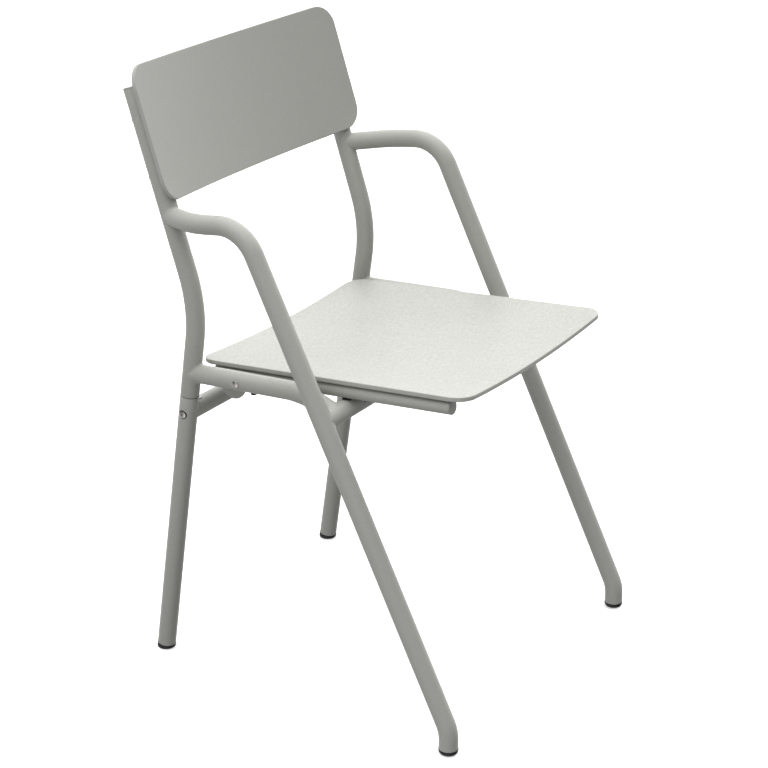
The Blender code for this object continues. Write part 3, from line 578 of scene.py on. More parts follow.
def ring_at(place, radius, height):
    """Matrix of a ring round the Z of another matrix."""
    return place @ Matrix.Translation((0, 0, height)) @ Matrix.Scale(radius, 4)


def prism(place, radius, low, high, sides=6):
    """Straight prism along the Z of a matrix."""
    rings = [ring_at(place, radius, height) for height in (low, high)]
    return loft(rings, sides, closed=False)[0]


def block(place, low, high, edge_round):
    """Box between two corners of a matrix, with rounded edges."""
    low = Vector(low)
    high = Vector(high)
    bm = bmesh.new()
    size = Matrix.Diagonal((*(high - low), 1.0))
    bmesh.ops.create_cube(bm, size=1.0, matrix=Matrix.Translation((low + high) / 2) @ size)
    round_off(bm, bm.edges[:], edge_round, segments=2)
    bmesh.ops.transform(bm, matrix=place, verts=bm.verts)
    return bm


def bent_plate(half_width, low, high, thickness, corner_r, bend_r, edge_round, strips, place):
    """Rounded rectangle with rounded edges, bent to a curve across its width."""
    bm = bmesh.new()
    outline = [(-half_width, low), (half_width, low), (half_width, high), (-half_width, high)]
    corners = [bm.verts.new((u, v, 0)) for u, v in outline]
    bm.faces.new(corners)
    round_off(bm, corners, corner_r, segments=12, affect="VERTICES")
    made = bmesh.ops.extrude_face_region(bm, geom=bm.faces[:])["geom"]
    bmesh.ops.translate(bm, vec=(0, 0, thickness), verts=verts_of(made))
    rims = [edge for edge in bm.edges if abs(edge.verts[0].co.z - edge.verts[1].co.z) < thickness / 2]
    round_off(bm, rims, edge_round, segments=3)
    for k in range(1, strips):
        station = half_width * (2 * k / strips - 1)
        bmesh.ops.bisect_plane(bm, geom=everything(bm), plane_co=(station, 0, 0), plane_no=(1, 0, 0))
    for vert in bm.verts:
        vert.co = place(vert.co.x / bend_r, vert.co.y, bend_r + vert.co.z)
    return bm


def as_object(name, bm):
    mesh = bpy.data.meshes.new(name)
    bmesh.ops.recalc_face_normals(bm, faces=bm.faces)
    bm.to_mesh(mesh)
    bm.free()
    made = bpy.data.objects.new(name, mesh)
    bpy.context.scene.collection.objects.link(made)
    return made


def shaped(bm, tool, operation):
    """Mesh after a tool is cut from it, joined to it or intersected with it, with slivers removed."""
    body = as_object("shaping", bm)
    helper = as_object("shaping_tool", tool)
    step = body.modifiers.new("shape", "BOOLEAN")
    step.operation = operation
    step.solver = "EXACT"
    step.object = helper
    result = bmesh.new()
    result.from_object(body, bpy.context.evaluated_depsgraph_get())
    bmesh.ops.remove_doubles(result, verts=result.verts, dist=SHAPE_MERGE)
    bmesh.ops.dissolve_degenerate(result, edges=result.edges, dist=SHAPE_MERGE)
    for item in (body, helper):
        mesh = item.data
        bpy.data.objects.remove(item)
        bpy.data.meshes.remove(mesh)
    return result


def merged(parts):
    """One mesh that holds several."""
    whole = bmesh.new()
    for part in parts:
        mesh = bpy.data.meshes.new("merging")
        bmesh.ops.recalc_face_normals(part, faces=part.faces)
        part.to_mesh(mesh)
        part.free()
        whole.from_mesh(mesh)
        bpy.data.meshes.remove(mesh)
    return whole


def add_piece(name, bm, body, slot, node=None, weighted=False):
    """Named, smooth-shaded piece with its finish, riding on a body and standing for a CAD node."""
    made = as_object(name, bm)
    made.data.shade_smooth()
    made.data.set_sharp_from_angle(angle=SMOOTH_ANGLE)
    made.data.materials.append(bpy.data.materials[slot + "_finish"])
    if weighted:
        normals = made.modifiers.new("flat_faces", "WEIGHTED_NORMAL")
        normals.keep_sharp = True
    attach(made, body)
    if node:
        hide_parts(node)


class Value:
    """An output in a node tree that can be used in sums."""

    def __init__(self, mixer, socket):
        self.mixer = mixer
        self.socket = socket

    def __add__(self, other):
        return self.mixer.maths("ADD", self, other)

    def __sub__(self, other):
        return self.mixer.maths("SUBTRACT", self, other)

    def __rsub__(self, other):
        return self.mixer.maths("SUBTRACT", other, self)

    def __mul__(self, other):
        return self.mixer.maths("MULTIPLY", self, other)

    __radd__ = __add__
    __rmul__ = __mul__


class Mixer:
    """A node tree being put together."""

    def __init__(self, tree):
        self.tree = tree

    def facing(self, vector, direction, power):
        """How far a vector points in a direction, from 0 to 1, sharpened by a power."""
        cosine = self.node("ShaderNodeVectorMath", {"operation": "DOT_PRODUCT"}, {0: vector, 1: direction},
                           output="Value")
        return self.maths("POWER", self.maths("MAXIMUM", cosine, 0.0), power)

    def node(self, kind, settings=None, sockets=None, output=0):
        """Add a node, set it up, feed its sockets and give one of its outputs."""
        made = self.tree.nodes.new(kind)
        for key, value in (settings or {}).items():
            setattr(made, key, value)
        for key, value in (sockets or {}).items():
            self.feed(made.inputs[key], value)
        return Value(self, made.outputs[output])

    def feed(self, socket, value):
        if isinstance(value, Value):
            self.tree.links.new(value.socket, socket)
        else:
            socket.default_value = value

    def maths(self, operation, *terms):
        return self.node("ShaderNodeMath", {"operation": operation}, dict(enumerate(terms)))


class Finish(Mixer):
    """A material being made up from nodes."""

    def __init__(self, name):
        self.material = bpy.data.materials.new(name + "_finish")
        self.material.use_nodes = True
        super().__init__(self.material.node_tree)
        self.shader = self.tree.nodes["Principled BSDF"]
        self.place = self.node("ShaderNodeTexCoord", output="Object")

    def noise(self, scale, detail=2.0, stretch=(1, 1, 1)):
        """Noise from 0 to 1 about 0.5, with scale grains per metre."""
        place = self.place
        if stretch != (1, 1, 1):
            place = self.node("ShaderNodeMapping", None, {"Vector": place, "Scale": stretch})
        return self.node("ShaderNodeTexNoise", None, {"Vector": place, "Scale": scale, "Detail": detail})

    def contrast(self, value, gain):
        """Value spread about 0.5 and kept from 0 to 1."""
        return self.node("ShaderNodeMath", {"operation": "MULTIPLY_ADD", "use_clamp": True},
                         {0: value, 1: gain, 2: 0.5 - gain / 2})

    def mix(self, factor, first, second):
        return self.node("ShaderNodeMix", {"data_type": "RGBA"}, {0: factor, 6: first, 7: second}, output=2)

    def bump(self, height, strength, distance):
        sockets = {"Strength": strength, "Distance": distance, "Height": height}
        return self.node("ShaderNodeBump", None, sockets)

    def finish(self, **sockets):
        for name, value in sockets.items():
            self.feed(self.shader.inputs[name.replace("_", " ").title()], value)
        return self.material


def shade(base, factor):
    """Colour made darker or lighter, with full alpha."""
    return (*(min(1.0, channel * factor) for channel in base), 1.0)


def mix_powder_coat(looks):
    """Satin coat with a fine grain, slightly uneven in tone and gloss, its grain painted with stronger light
    and shade where it faces up.
    """
    coat = Finish("powder_coat")
    peel = coat.noise(looks.coat_grain, detail=2.0)
    grit = coat.noise(looks.coat_grain * 2.7, detail=1.0)
    cloud = coat.noise(8.0, detail=3.0)
    normal = coat.node("ShaderNodeTexCoord", output="Normal")
    # How far the coat faces up; in the coat it sharpens the grain's tone, a painted light and shade of the
    # grain on tops.
    dust_and_painted_grain_light = coat.facing(normal, Z_AXIS, power=12.0)
    grain = 0.5 * peel + 0.35 * grit + 0.15 * cloud - 0.5
    # Grain painted with much stronger contrast where the coat faces up: painted light and shade, not dust.
    tone = grain * (0.75 + 2.2 * dust_and_painted_grain_light) + 0.5
    sheen = coat.contrast(0.5 * peel + 0.5 * cloud, gain=0.5)
    coat.finish(base_color=coat.mix(tone, shade(looks.coat, 0.82), shade(looks.coat, 1.18)),
                roughness=sheen * 0.2 + (looks.coat_rough - 0.1),
                normal=coat.bump(0.6 * peel + 0.4 * grit, strength=0.35, distance=0.0003))


def mix_stainless(looks):
    """Drawn and turned stainless steel, with fine lines and faint smudges."""
    steel = Finish("stainless")
    lines = steel.noise(2600.0, detail=2.0, stretch=(1.0, 0.12, 0.12))
    smudge = steel.noise(160.0, detail=3.0)
    steel.finish(base_color=steel.mix(smudge, shade(looks.steel, 0.88), shade(looks.steel, 1.1)),
                 roughness=0.13 + 0.1 * lines + 0.12 * smudge,
                 normal=steel.bump(lines, strength=0.08, distance=0.0001),
                 metallic=1.0)


def mix_rubber(looks):
    """Moulded black rubber with a fine texture and a trace of dust."""
    rubber = Finish("rubber")
    texture = rubber.noise(1900.0, detail=2.0)
    dust_and_painted_grain_light = rubber.contrast(rubber.noise(130.0, detail=4.0), gain=2.0)
    rubber.finish(base_color=rubber.mix(dust_and_painted_grain_light, shade(looks.rubber, 0.8), shade(looks.rubber, 1.9)),
                  roughness=0.5 + 0.2 * dust_and_painted_grain_light,
                  normal=rubber.bump(texture, strength=0.3, distance=0.0002))


def mix_plastic(looks):
    """Moulded grey plastic, a little mottled."""
    plastic = Finish("plastic")
    texture = plastic.noise(1500.0, detail=2.0)
    mottle = plastic.contrast(plastic.noise(420.0, detail=3.0), gain=1.8)
    plastic.finish(base_color=plastic.mix(mottle, shade(looks.plastic, 0.9), shade(looks.plastic, 1.08)),
                   roughness=0.42 + 0.14 * mottle,
                   normal=plastic.bump(texture, strength=0.2, distance=0.0002))


def make_upright(lay):
    """Bent upright with a plug in its top."""
    start = lay.seam + lay.leg_up * (lay.tubes.seam / 2)
    corners = [lay.at_upright(point) for point in (start, lay.bend, lay.top)]
    bm, _ = lay.frame_tube(bent_path(corners, [lay.tubes.upright_bend_r]), lay.tubes.end_round)
    lay.add("upright_tube", bm, "frame", "powder_coat", "upright")
    top = axis_frame(corners[-1] + lay.back_up * lay.hardware.fit, lay.back_up, X_AXIS)
    plug = turned(plug_profile(lay.hardware, lay.bore_r, lay.tube_r), top)
    lay.add("upright_cap", plug, "frame", "plastic", "upright_plug")


def plug_profile(hardware, bore_r, rim_r):
    """Cap with a rounded rim on a spigot that goes into a tube."""
    rim = hardware.plug_t * 0.5
    spigot_r = bore_r - hardware.fit
    cap = [(0, hardware.plug_t)] + arc((rim_r - rim, hardware.plug_t - rim), rim, 90, 0, 4)
    return cap + [(rim_r, 0), (spigot_r, 0), (spigot_r, -hardware.plug_l), (0, -hardware.plug_l)]


def make_arm_leg(lay):
    """Arm and front leg in one tube, from the upright to the front foot."""
    tubes = lay.tubes
    end = lay.front_foot + Z_AXIS * (lay.hardware.foot_h + lay.hardware.fit)
    corners = [lay.at_upright(lay.arm_root)]
    for point in (lay.arm_bow(), lay.arm_corner, lay.foot_bend, end):
        corners.append(lay.at_leg(point))
    path = bent_path(corners, [tubes.arm_bow_r, tubes.arm_corner_r, tubes.foot_bend_r])
    bm, (root, _) = lay.frame_tube(path)
    cope(root, lay.arm_start(), corners[0], lay.back_up, lay.sunk_r)
    lay.add("arm_and_leg", bm, "frame", "powder_coat", "arm_leg")


def make_side_rail(lay):
    corners = [lay.at_upright(point) for point in (lay.rail_root, lay.rail_bend, lay.front_cross)]
    bm, (root, nose) = lay.frame_tube(bent_path(corners, [lay.tubes.rail_bend_r]))
    cope(root, lay.rail_forward, corners[0], lay.leg_up, lay.sunk_r)
    cope(nose, (corners[1] - corners[2]).normalized(), corners[2], X_AXIS, lay.sunk_r)
    lay.add("seat_bearer", bm, "frame", "powder_coat", "side_rail")


def make_cross_tube(lay, centre, half, radius, leg_axis, name, body, node):
    """Cross tube between two legs, shaped to both of them."""
    ends = [at_x(centre, -half), at_x(centre, half)]
    bm, (right, left) = tube(ends, radius, radius - lay.tubes.wall, lay.tubes.facets, hint=Z_AXIS)
    cope(right, X_AXIS, ends[0], leg_axis, lay.sunk_r)
    cope(left, -X_AXIS, ends[1], leg_axis, lay.sunk_r)
    add_piece(name, bm, body, "powder_coat", node)


def make_frame_welds(lay):
    """Welds of the arm, the front cross tube and the side rail on one side."""
    tubes = lay.tubes
    arm = lay.at_upright(lay.arm_root)
    nose = lay.at_upright(lay.front_cross)
    leg = lay.at_leg(lay.front_cross)
    rail = lay.at_upright(lay.rail_root)
    drop = (lay.rail_bend - lay.front_cross).normalized()
    joints = [(arm, lay.arm_start(), lay.back_up, tubes.bead, 1.0),
              (nose, drop, X_AXIS, tubes.fillet, 1.0),
              (leg, -lay.outward, lay.front_up, tubes.fillet, 1.0),
              (rail, lay.rail_forward, lay.leg_up, tubes.rail_weld, 0.4)]
    rings = []
    for foot, along, axis, size, beside in joints:
        rings.append(weld(foot, along, lay.tube_r, axis, lay.tube_r, size, tubes.facets, beside))
    lay.add("frame_welds", merged(rings), "frame", "powder_coat")


def make_rear_weld(lay):
    """Weld of the rear cross tube on one side."""
    foot = lay.at_upright(lay.rear_cross)
    branch_r = lay.tubes.rear_cross_d / 2
    ring = weld(foot, -lay.outward, branch_r, lay.leg_up, lay.tube_r, lay.tubes.bead, lay.tubes.facets)
    lay.add("rear_weld", ring, "rear_legs", "powder_coat")


def make_rear_leg(lay):
    """Rear leg with the hole that its bolt's head sits in."""
    start = lay.rear_foot + lay.leg_up * (lay.hardware.foot_h + lay.hardware.fit)
    end = lay.seam - lay.leg_up * (lay.tubes.seam / 2)
    hole_r = lay.hardware.fork_hole_r
    centre = lay.on_leg(lay.rear_cross.z)
    margin = lay.leg_up * (1.5 * hole_r)
    path = [lay.at_upright(point) for point in (start, centre - margin, centre + margin, end)]
    bm, _ = lay.frame_tube(path, lay.tubes.end_round)
    drill = prism(fork_bolt_frame(lay), hole_r, 0, 2 * lay.tube_r, lay.tubes.facets)
    leg = shaped(bm, drill, "DIFFERENCE")
    lay.add("folding_leg", leg, "rear_legs", "powder_coat", "rear_leg")


def button_screw(place, shank_r, shank_l, head_r, head_h, socket_r=0.0):
    """Screw with a low domed head on the +Z side of a matrix, and a hexagon socket if socket_r is given."""
    rise = min(head_h * 0.9, head_r * 0.23)
    steps = 8
    dome = []
    for k in range(steps):
        ratio = 1 - k / steps
        dome.append((head_r * ratio, head_h - rise * ratio * ratio))
    tip = shank_r * 0.25
    shank = [(0, -shank_l), (shank_r - tip, -shank_l), (shank_r, -shank_l + tip), (shank_r, 0), (head_r, 0)]
    bm = turned(shank + dome + [(0, head_h)], place)
    if socket_r:
        socket_floor = head_h * 0.3
        socket = prism(place @ HALF_FACET, socket_r, socket_floor, head_h * 2)
        bm = shaped(bm, socket, "DIFFERENCE")
    return bm


def plate_screw(lay, axis_point, out, tube_r, head_r, head_h):
    """Screw through a tube into the panel on its far side, its head towards out."""
    hardware = lay.hardware
    hint = Y_AXIS if abs(out.z) > 0.5 else Z_AXIS
    head = axis_frame(axis_point + out * (tube_r + hardware.fit), out, hint)
    shank = 2 * tube_r + 2 * hardware.fit + hardware.screw_bite
    socket_r = head_r * 0.48
    return button_screw(head, hardware.screw_r, shank, head_r, head_h, socket_r)


def make_back_panel(lay):
    plates = lay.plates
    bm = bent_plate(plates.panel_width / 2, plates.panel_bottom, plates.panel_top, plates.panel_t,
                    plates.panel_corner_r, plates.panel_bend_r, plates.edge_round, plates.strips,
                    lay.panel_point)
    add_piece("back_sheet", bm, "frame", "powder_coat", "back_panel", weighted=True)


def make_back_screws(lay):
    hardware = lay.hardware
    out = (lay.outward * lay.upright_x + lay.back_rear * lay.panel_depth).normalized()
    for row, level in enumerate(("lower", "upper")):
        along = lay.plates.panel_bottom + hardware.screw_inset + row * hardware.screw_pitch
        point = lay.at_upright(lay.bend + lay.back_up * along)
        screw = plate_screw(lay, point, out, lay.tube_r, hardware.back_head_r, hardware.back_head_h)
        lay.add("panel_screw_" + level, screw, "frame", "stainless", "back_screw_" + level)


def make_seat_panel(lay):
    plates = lay.plates
    half_width = plates.seat_dish_r * math.asin(plates.seat_half_w / plates.seat_dish_r)
    bm = bent_plate(half_width, -plates.seat_front, plates.seat_rear, plates.seat_t, plates.seat_corner_r,
                    plates.seat_dish_r, plates.edge_round, plates.strips, lay.seat_point)
    add_piece("seat_sheet", bm, "seat", "powder_coat", "seat_panel", weighted=True)


def make_seat_rail(lay):
    """Rail under the seat, with a cap in each end."""
    plates = lay.plates
    centre = lay.at_rail(lay.seat_rail)
    bore_r = lay.rail_r - lay.tubes.seat_rail_wall
    stations = {"front": plates.rail_inset - plates.seat_front, "rear": plates.seat_rear - plates.rail_inset}
    ends = [centre + lay.seat_rear * along for along in stations.values()]
    bm, _ = tube(ends, lay.rail_r, bore_r, lay.tubes.facets, lay.tubes.end_round)
    lay.add("seat_tube", bm, "seat", "powder_coat", "seat_rail")
    for end, along in stations.items():
        outward = lay.seat_rear * math.copysign(1, along)
        place = axis_frame(centre + lay.seat_rear * along + outward * lay.hardware.fit, outward, X_AXIS)
        cap = turned(plug_profile(lay.hardware, bore_r, lay.rail_r), place)
        lay.add("seat_tube_cap_" + end, cap, "seat", "plastic", "rail_plug_" + end)


def make_seat_screws(lay):
    """Screws that hold the seat panel to its rail."""
    hardware = lay.hardware
    centre = lay.at_rail(lay.seat_rail)
    out = (lay.outward * lay.rail_x - lay.seat_up * lay.seat_depth).normalized()
    for end, ahead in (("front", hardware.seat_screw_front), ("rear", hardware.seat_screw_rear)):
        point = centre - lay.seat_rear * ahead
        screw = plate_screw(lay, point, out, lay.rail_r, hardware.seat_head_r, hardware.seat_head_h)
        lay.add("sheet_screw_" + end, screw, "seat", "stainless", "seat_screw_" + end)


def lug_plate(hardware, top):
    """Plate square to X with a round lower end, from the height top downward."""
    half = hardware.lug_t / 2
    centre = (0, 0, -hardware.lug_drop)
    bm = bmesh.new()
    start = bm.verts.new((-half, hardware.lug_r, -hardware.lug_drop))
    bmesh.ops.spin(bm, geom=[start], cent=centre, axis=(1, 0, 0), angle=-math.pi, steps=32)
    ends = sorted(sorted(bm.verts, key=lambda vert: vert.co.z)[-2:], key=lambda vert: vert.co.y)
    shoulders = [bm.verts.new((-half, vert.co.y, top)) for vert in ends]
    for pair in (*zip(ends, shoulders), shoulders):
        bm.edges.new(pair)
    face = bmesh.ops.contextual_create(bm, geom=bm.edges[:])["faces"]
    made = bmesh.ops.extrude_face_region(bm, geom=face)["geom"]
    bmesh.ops.translate(bm, vec=(hardware.lug_t, 0, 0), verts=verts_of(made))
    rims = [edge for edge in bm.edges if abs(edge.verts[0].co.x - edge.verts[1].co.x) < half]
    round_off(bm, rims, half * 0.6, segments=4)
    return bm


def make_stop_lug(lay):
    """Round-ended plate welded under the seat rail behind the pivot."""
    hardware = lay.hardware
    half = hardware.lug_t / 2
    bead_r = half * 0.7
    place = Matrix((X_AXIS, lay.seat_rear, lay.seat_up)).transposed().to_4x4()
    place.translation = lay.at_rail(lay.seat_rail) + lay.seat_rear * hardware.lug_setback
    plate = lug_plate(hardware, lay.tubes.seat_rail_wall / 2 - lay.rail_r)
    bmesh.ops.transform(plate, matrix=place, verts=plate.verts)
    beads = []
    for edge in (-half, half):
        run = axis_frame(place @ Vector((edge, 0, -lay.rail_r)), lay.seat_rear, X_AXIS)
        beads.append(prism(run, bead_r, -hardware.lug_r, hardware.lug_r, sides=16))
    lay.add("lug", merged([plate, *beads]), "seat", "powder_coat", "stop_lug", weighted=True)


def rounded_rim(radius, low, high, edge):
    """(radius, height) points of a round rim with rounded edges."""
    lower = arc((radius - edge, low + edge), edge, -90, 0, 3)
    return lower + arc((radius - edge, high - edge), edge, 0, 90, 3)


def barrel(place, radius, width):
    """Short round bar with rounded edges, centred on a matrix and along its Z."""
    half = width / 2
    rim = rounded_rim(radius, -half, half, edge=width * 0.14)
    return turned([(0, -half)] + rim + [(0, half)], place, sides=32)


def insert(place, radius, low, high):
    """Round insert inside a tube, chamfered at both ends."""
    chamfer = radius * 0.06
    profile = [(0, low), (radius - chamfer, low), (radius, low + chamfer), (radius, high - chamfer),
               (radius - chamfer, high), (0, high)]
    return turned(profile, place)


def hinge_leaf(lay, place, bm, across, width, low, high):
    """Insert with a tongue and a knuckle joined to it, across being their place along the hinge's axis."""
    reach = lay.hinge_offset
    half = width * 0.46
    edge = width * 0.08
    tongue = block(place, (across - half, -reach, low), (across + half, 0, high), edge)
    centre = axis_frame(place @ Vector((across, -reach, 0)), X_AXIS, Z_AXIS)
    return shaped(shaped(bm, tongue, "UNION"), barrel(centre, lay.hardware.knuckle_r, width), "UNION")


def make_hinge_socket(lay):
    """Half of the leg's hinge that sits in the upright, with the middle knuckle."""
    hardware = lay.hardware
    place = lay.seam_frame()
    gap = lay.tubes.seam / 2
    socket = insert(place, lay.bore_r - hardware.fit, gap, hardware.socket_l)
    socket = hinge_leaf(lay, place, socket, 0, hardware.knuckle_w, gap + hardware.fit, hardware.tongue_t)
    lay.add("hinge_socket_steel", socket, "frame", "stainless", "hinge_socket", weighted=True)


def make_hinge_fork(lay):
    """Half of the leg's hinge that sits in the rear leg, with the two outer knuckles."""
    hardware = lay.hardware
    place = lay.seam_frame()
    gap = lay.tubes.seam / 2
    fork = insert(place, lay.bore_r - hardware.fit, -hardware.fork_l, -gap)
    for across in (-lay.ear_x, lay.ear_x):
        fork = hinge_leaf(lay, place, fork, across, hardware.ear_w, -hardware.tongue_t, -gap - hardware.fit)
    lay.add("hinge_fork_steel", fork, "rear_legs", "stainless", "hinge_fork", weighted=True)


def make_hinge_rivet(lay):
    """Pin through the knuckles, with a domed head at each end."""
    hardware = lay.hardware
    half = lay.ear_x + hardware.ear_w / 2 + hardware.fit
    head = [(hardware.pin_r, half), (hardware.pin_head_r, half)]
    head += arc((hardware.pin_head_r - hardware.pin_head_t, half), hardware.pin_head_t, 0, 90, 4)
    head.append((0, half + hardware.pin_head_t))
    profile = [(radius, -height) for radius, height in reversed(head)] + head
    centre = axis_frame(lay.seam_frame() @ Vector((0, -lay.hinge_offset, 0)), X_AXIS, Z_AXIS)
    lay.add("hinge_rivet", turned(profile, centre, sides=32), "rear_legs", "stainless", "hinge_pin")


def fork_bolt_frame(lay):
    """Frame of a fork bolt, Z outward, where its head rests on the hinge fork inside the leg."""
    across = lay.sign * (lay.upright_x + lay.bore_r + lay.hardware.fit)
    return axis_frame(at_x(middle(lay.node("fork_bolt")), across), lay.outward, Z_AXIS)


def make_fork_bolt(lay):
    """Socket bolt that holds the hinge fork in the rear leg, with a black ring round its head as a painted
    shadow of the hole's gap.
    """
    hardware = lay.hardware
    place = fork_bolt_frame(lay)
    bolt = button_screw(place, hardware.fork_bolt_r, lay.bore_r, hardware.fork_head_r,
                        hardware.fork_head_h, socket_r=hardware.fork_head_r * 0.55)
    lay.add("leg_bolt", bolt, "rear_legs", "stainless", "fork_bolt")
    # Black rubber ring that fills the gap between the head and its hole: a painted shadow of that gap.
    inner_r = hardware.fork_head_r + hardware.fit
    outer_r = hardware.fork_hole_r - hardware.fit / 2
    gap_shadow_h = hardware.fork_head_h * 0.4
    gap_shadow_ring = [(inner_r, 0), (outer_r, 0), (outer_r, gap_shadow_h), (inner_r, gap_shadow_h)]
    lay.add("leg_bolt_gap_shadow", turned(gap_shadow_ring, place, ring=True), "rear_legs", "rubber")


def make_pivot_bolt(lay):
    """Domed bolt that the seat turns on."""
    hardware = lay.hardware
    head_x = lay.upright_x + lay.tube_r + hardware.fit
    head = axis_frame(at_x(lay.pivot, lay.sign * head_x), lay.outward, Z_AXIS)
    shank = extent(lay.node("pivot_bolt")).x - hardware.pivot_head_h
    bolt = button_screw(head, hardware.pivot_r, shank, hardware.pivot_head_r, hardware.pivot_head_h)
    lay.add("pivot_screw", bolt, "frame", "stainless", "pivot_bolt")


def make_pivot_washer(lay):
    """Washer with a rounded rim between the side rail and the seat rail."""
    hardware = lay.hardware
    node = lay.node("pivot_washer")
    hole_r = hardware.pivot_r + hardware.fit
    thickness = extent(node).x
    place = axis_frame(middle(node) - lay.outward * (thickness / 2), lay.outward, Z_AXIS)
    rim = rounded_rim(hardware.washer_r, 0, thickness, edge=thickness * 0.2)
    washer = turned([(hole_r, 0)] + rim + [(hole_r, thickness)], place, ring=True)
    lay.add("pivot_spacer", washer, "frame", "plastic", "pivot_washer")


def make_pivot_nut(lay):
    """Lock nut on the inner end of the pivot bolt."""
    hardware = lay.hardware
    node = lay.node("pivot_nut")
    height = extent(node).x
    place = axis_frame(middle(node) + lay.outward * (height / 2), -lay.outward, Z_AXIS)
    nut = lock_nut(place, hardware.nut_r, hardware.pivot_r + hardware.fit, height)
    lay.add("pivot_lock_nut", nut, "frame", "stainless", "pivot_nut", weighted=True)


def lock_nut(place, corner_r, hole_r, height):
    """Hexagon nut with chamfered corners and a round locking collar."""
    flats = corner_r * math.cos(math.pi / 6)
    hexagon = prism(place @ HALF_FACET, corner_r, -height, height * 2)
    body_h = height * 0.7
    drop = (corner_r - flats) * 0.6
    chamfer_r = flats * 0.96
    over_r = corner_r * 1.02
    envelope = turned([(0, 0), (chamfer_r, 0), (over_r, drop), (over_r, body_h - drop), (chamfer_r, body_h),
                       (0, body_h)], place)
    body = shaped(hexagon, envelope, "INTERSECT")
    collar_r = flats * 0.86
    edge = height * 0.1
    collar = [(0, height * 0.5), (collar_r, height * 0.5)]
    collar += arc((collar_r - edge, height - edge), edge, 0, 90, 4) + [(0, height)]
    drill = turned([(0, -height), (hole_r, -height), (hole_r, height * 2), (0, height * 2)], place)
    return shaped(shaped(body, turned(collar, place), "UNION"), drill, "DIFFERENCE")


def foot_profile(lay, sole):
    """Sole of a foot, given as (radius, height) points, with the foot's wall and spigot above it."""
    hardware = lay.hardware
    spigot_r = lay.bore_r - hardware.fit
    top = hardware.foot_h + hardware.foot_l
    return sole + [(lay.foot_r, hardware.foot_h), (spigot_r, hardware.foot_h), (spigot_r, top), (0, top)]


def make_front_foot(lay):
    """Domed foot pushed into the front leg."""
    dome = lay.hardware.foot_h * 0.75
    sole = [(0, 0)] + arc((lay.foot_r - dome, dome), dome, -90, 0, 8)
    floor = Matrix.Translation(lay.at_leg(lay.front_foot))
    foot = turned(foot_profile(lay, sole), floor)
    lay.add("front_glide", foot, "frame", "rubber", "front_foot")


def make_rear_foot(lay):
    """Foot square to the raked leg, cut level with the floor."""
    below = [(0, -lay.foot_r), (lay.foot_r, -lay.foot_r)]
    place = axis_frame(lay.at_upright(lay.rear_foot), lay.leg_up, X_AXIS)
    bm = turned(foot_profile(lay, below), place)
    bmesh.ops.bisect_plane(bm, geom=everything(bm), plane_co=(0, 0, 0), plane_no=(0, 0, 1), clear_inner=True)
    sole = bmesh.ops.holes_fill(bm, edges=bm.edges)["faces"]
    rims = [edge for face in sole for edge in face.edges]
    round_off(bm, rims, lay.hardware.foot_h * 0.4, segments=3)
    lay.add("rear_glide", bm, "rear_legs", "rubber", "rear_foot")


def make_seat_pad(lay):
    """Saddle pad on the front cross tube that carries a seat rail."""
    hardware = lay.hardware
    place = axis_frame(lay.at_rail(lay.front_cross), lay.seat_up, X_AXIS)
    top = lay.tube_r + hardware.fit + hardware.pad_t
    edge = hardware.pad_t * 0.3
    levels = [(hardware.pad_r, 0.0)] + arc((hardware.pad_r - edge, top - edge), edge, 0, 90, 3)
    rings = [ring_at(place, radius, height) for radius, height in levels]
    bm, loops = loft(rings, sides=40, closed=False)
    cope(loops[0], lay.seat_up, place.translation, X_AXIS, lay.sunk_r)
    lay.add("rail_rest", bm, "frame", "rubber", "seat_pad")


def make_rail_buffer(lay):
    """Push-in buffer under the side rail."""
    hardware = lay.hardware
    ahead = lay.rail_forward * hardware.buffer_ahead
    under = lay.at_upright(lay.pivot) + ahead - lay.rail_up * (lay.tube_r + hardware.fit)
    stem_r = hardware.buffer_r * 0.62
    dome = hardware.buffer_h * 0.6
    profile = [(0, -hardware.buffer_l), (stem_r, -hardware.buffer_l), (stem_r, 0), (hardware.buffer_r, 0)]
    profile += arc((hardware.buffer_r - dome, hardware.buffer_h - dome), dome, 0, 90, 6)
    profile.append((0, hardware.buffer_h))
    bm = turned(profile, axis_frame(under, -lay.rail_up, X_AXIS), sides=32)
    lay.add("rail_bumper", bm, "frame", "rubber", "rail_buffer")


def add_key_light(scene, studio):
    """Square soft lamp that points at the chair."""
    data = bpy.data.lights.new("key_light", "AREA")
    data.energy = studio.key
    data.size = studio.key_size
    lamp = bpy.data.objects.new("key_light", data)
    scene.collection.objects.link(lamp)
    place = Vector(studio.key_place)
    lamp.location = place
    lamp.rotation_euler = (Vector(studio.key_aim) - place).to_track_quat("-Z", "Y").to_euler()


def lay_floor(studio):
    """Wide pale floor with a barely uneven tone."""
    bm = bmesh.new()
    bmesh.ops.create_grid(bm, x_segments=1, y_segments=1, size=FLOOR_HALF)
    floor = as_object("studio_floor", bm)
    finish = Finish("studio_floor")
    drift = finish.noise(0.7, detail=2.0)
    finish.finish(base_color=finish.mix(drift, shade(studio.floor, 0.99), shade(studio.floor, 1.01)),
                  roughness=0.9,
                  emission_color=(1.0, 1.0, 1.0, 1.0),
                  emission_strength=studio.glow)
    floor.data.materials.append(finish.material)
    floor.visible_diffuse = False
    floor.visible_glossy = False
    floor.visible_shadow = False


def set_surround(scene, studio):
    """Dark dome with large soft patches of light, and plain colour management."""
    world = bpy.data.worlds.new("studio_dome")
    world.use_nodes = True
    dome = Mixer(world.node_tree)
    toward = dome.node("ShaderNodeTexCoord", output="Generated")
    total = 0.0
    for patch in ("overhead", "left_wall", "low_right", "low_rear"):
        faded = dome.facing(toward, getattr(studio, patch + "_at"), studio.softness)
        total = faded * getattr(studio, patch) + total
    background = world.node_tree.nodes["Background"]
    background.inputs["Color"].default_value = (1.0, 1.0, 1.0, 1.0)
    dome.feed(background.inputs["Strength"], total)
    scene.world = world
    scene.view_settings.view_transform = "Standard"


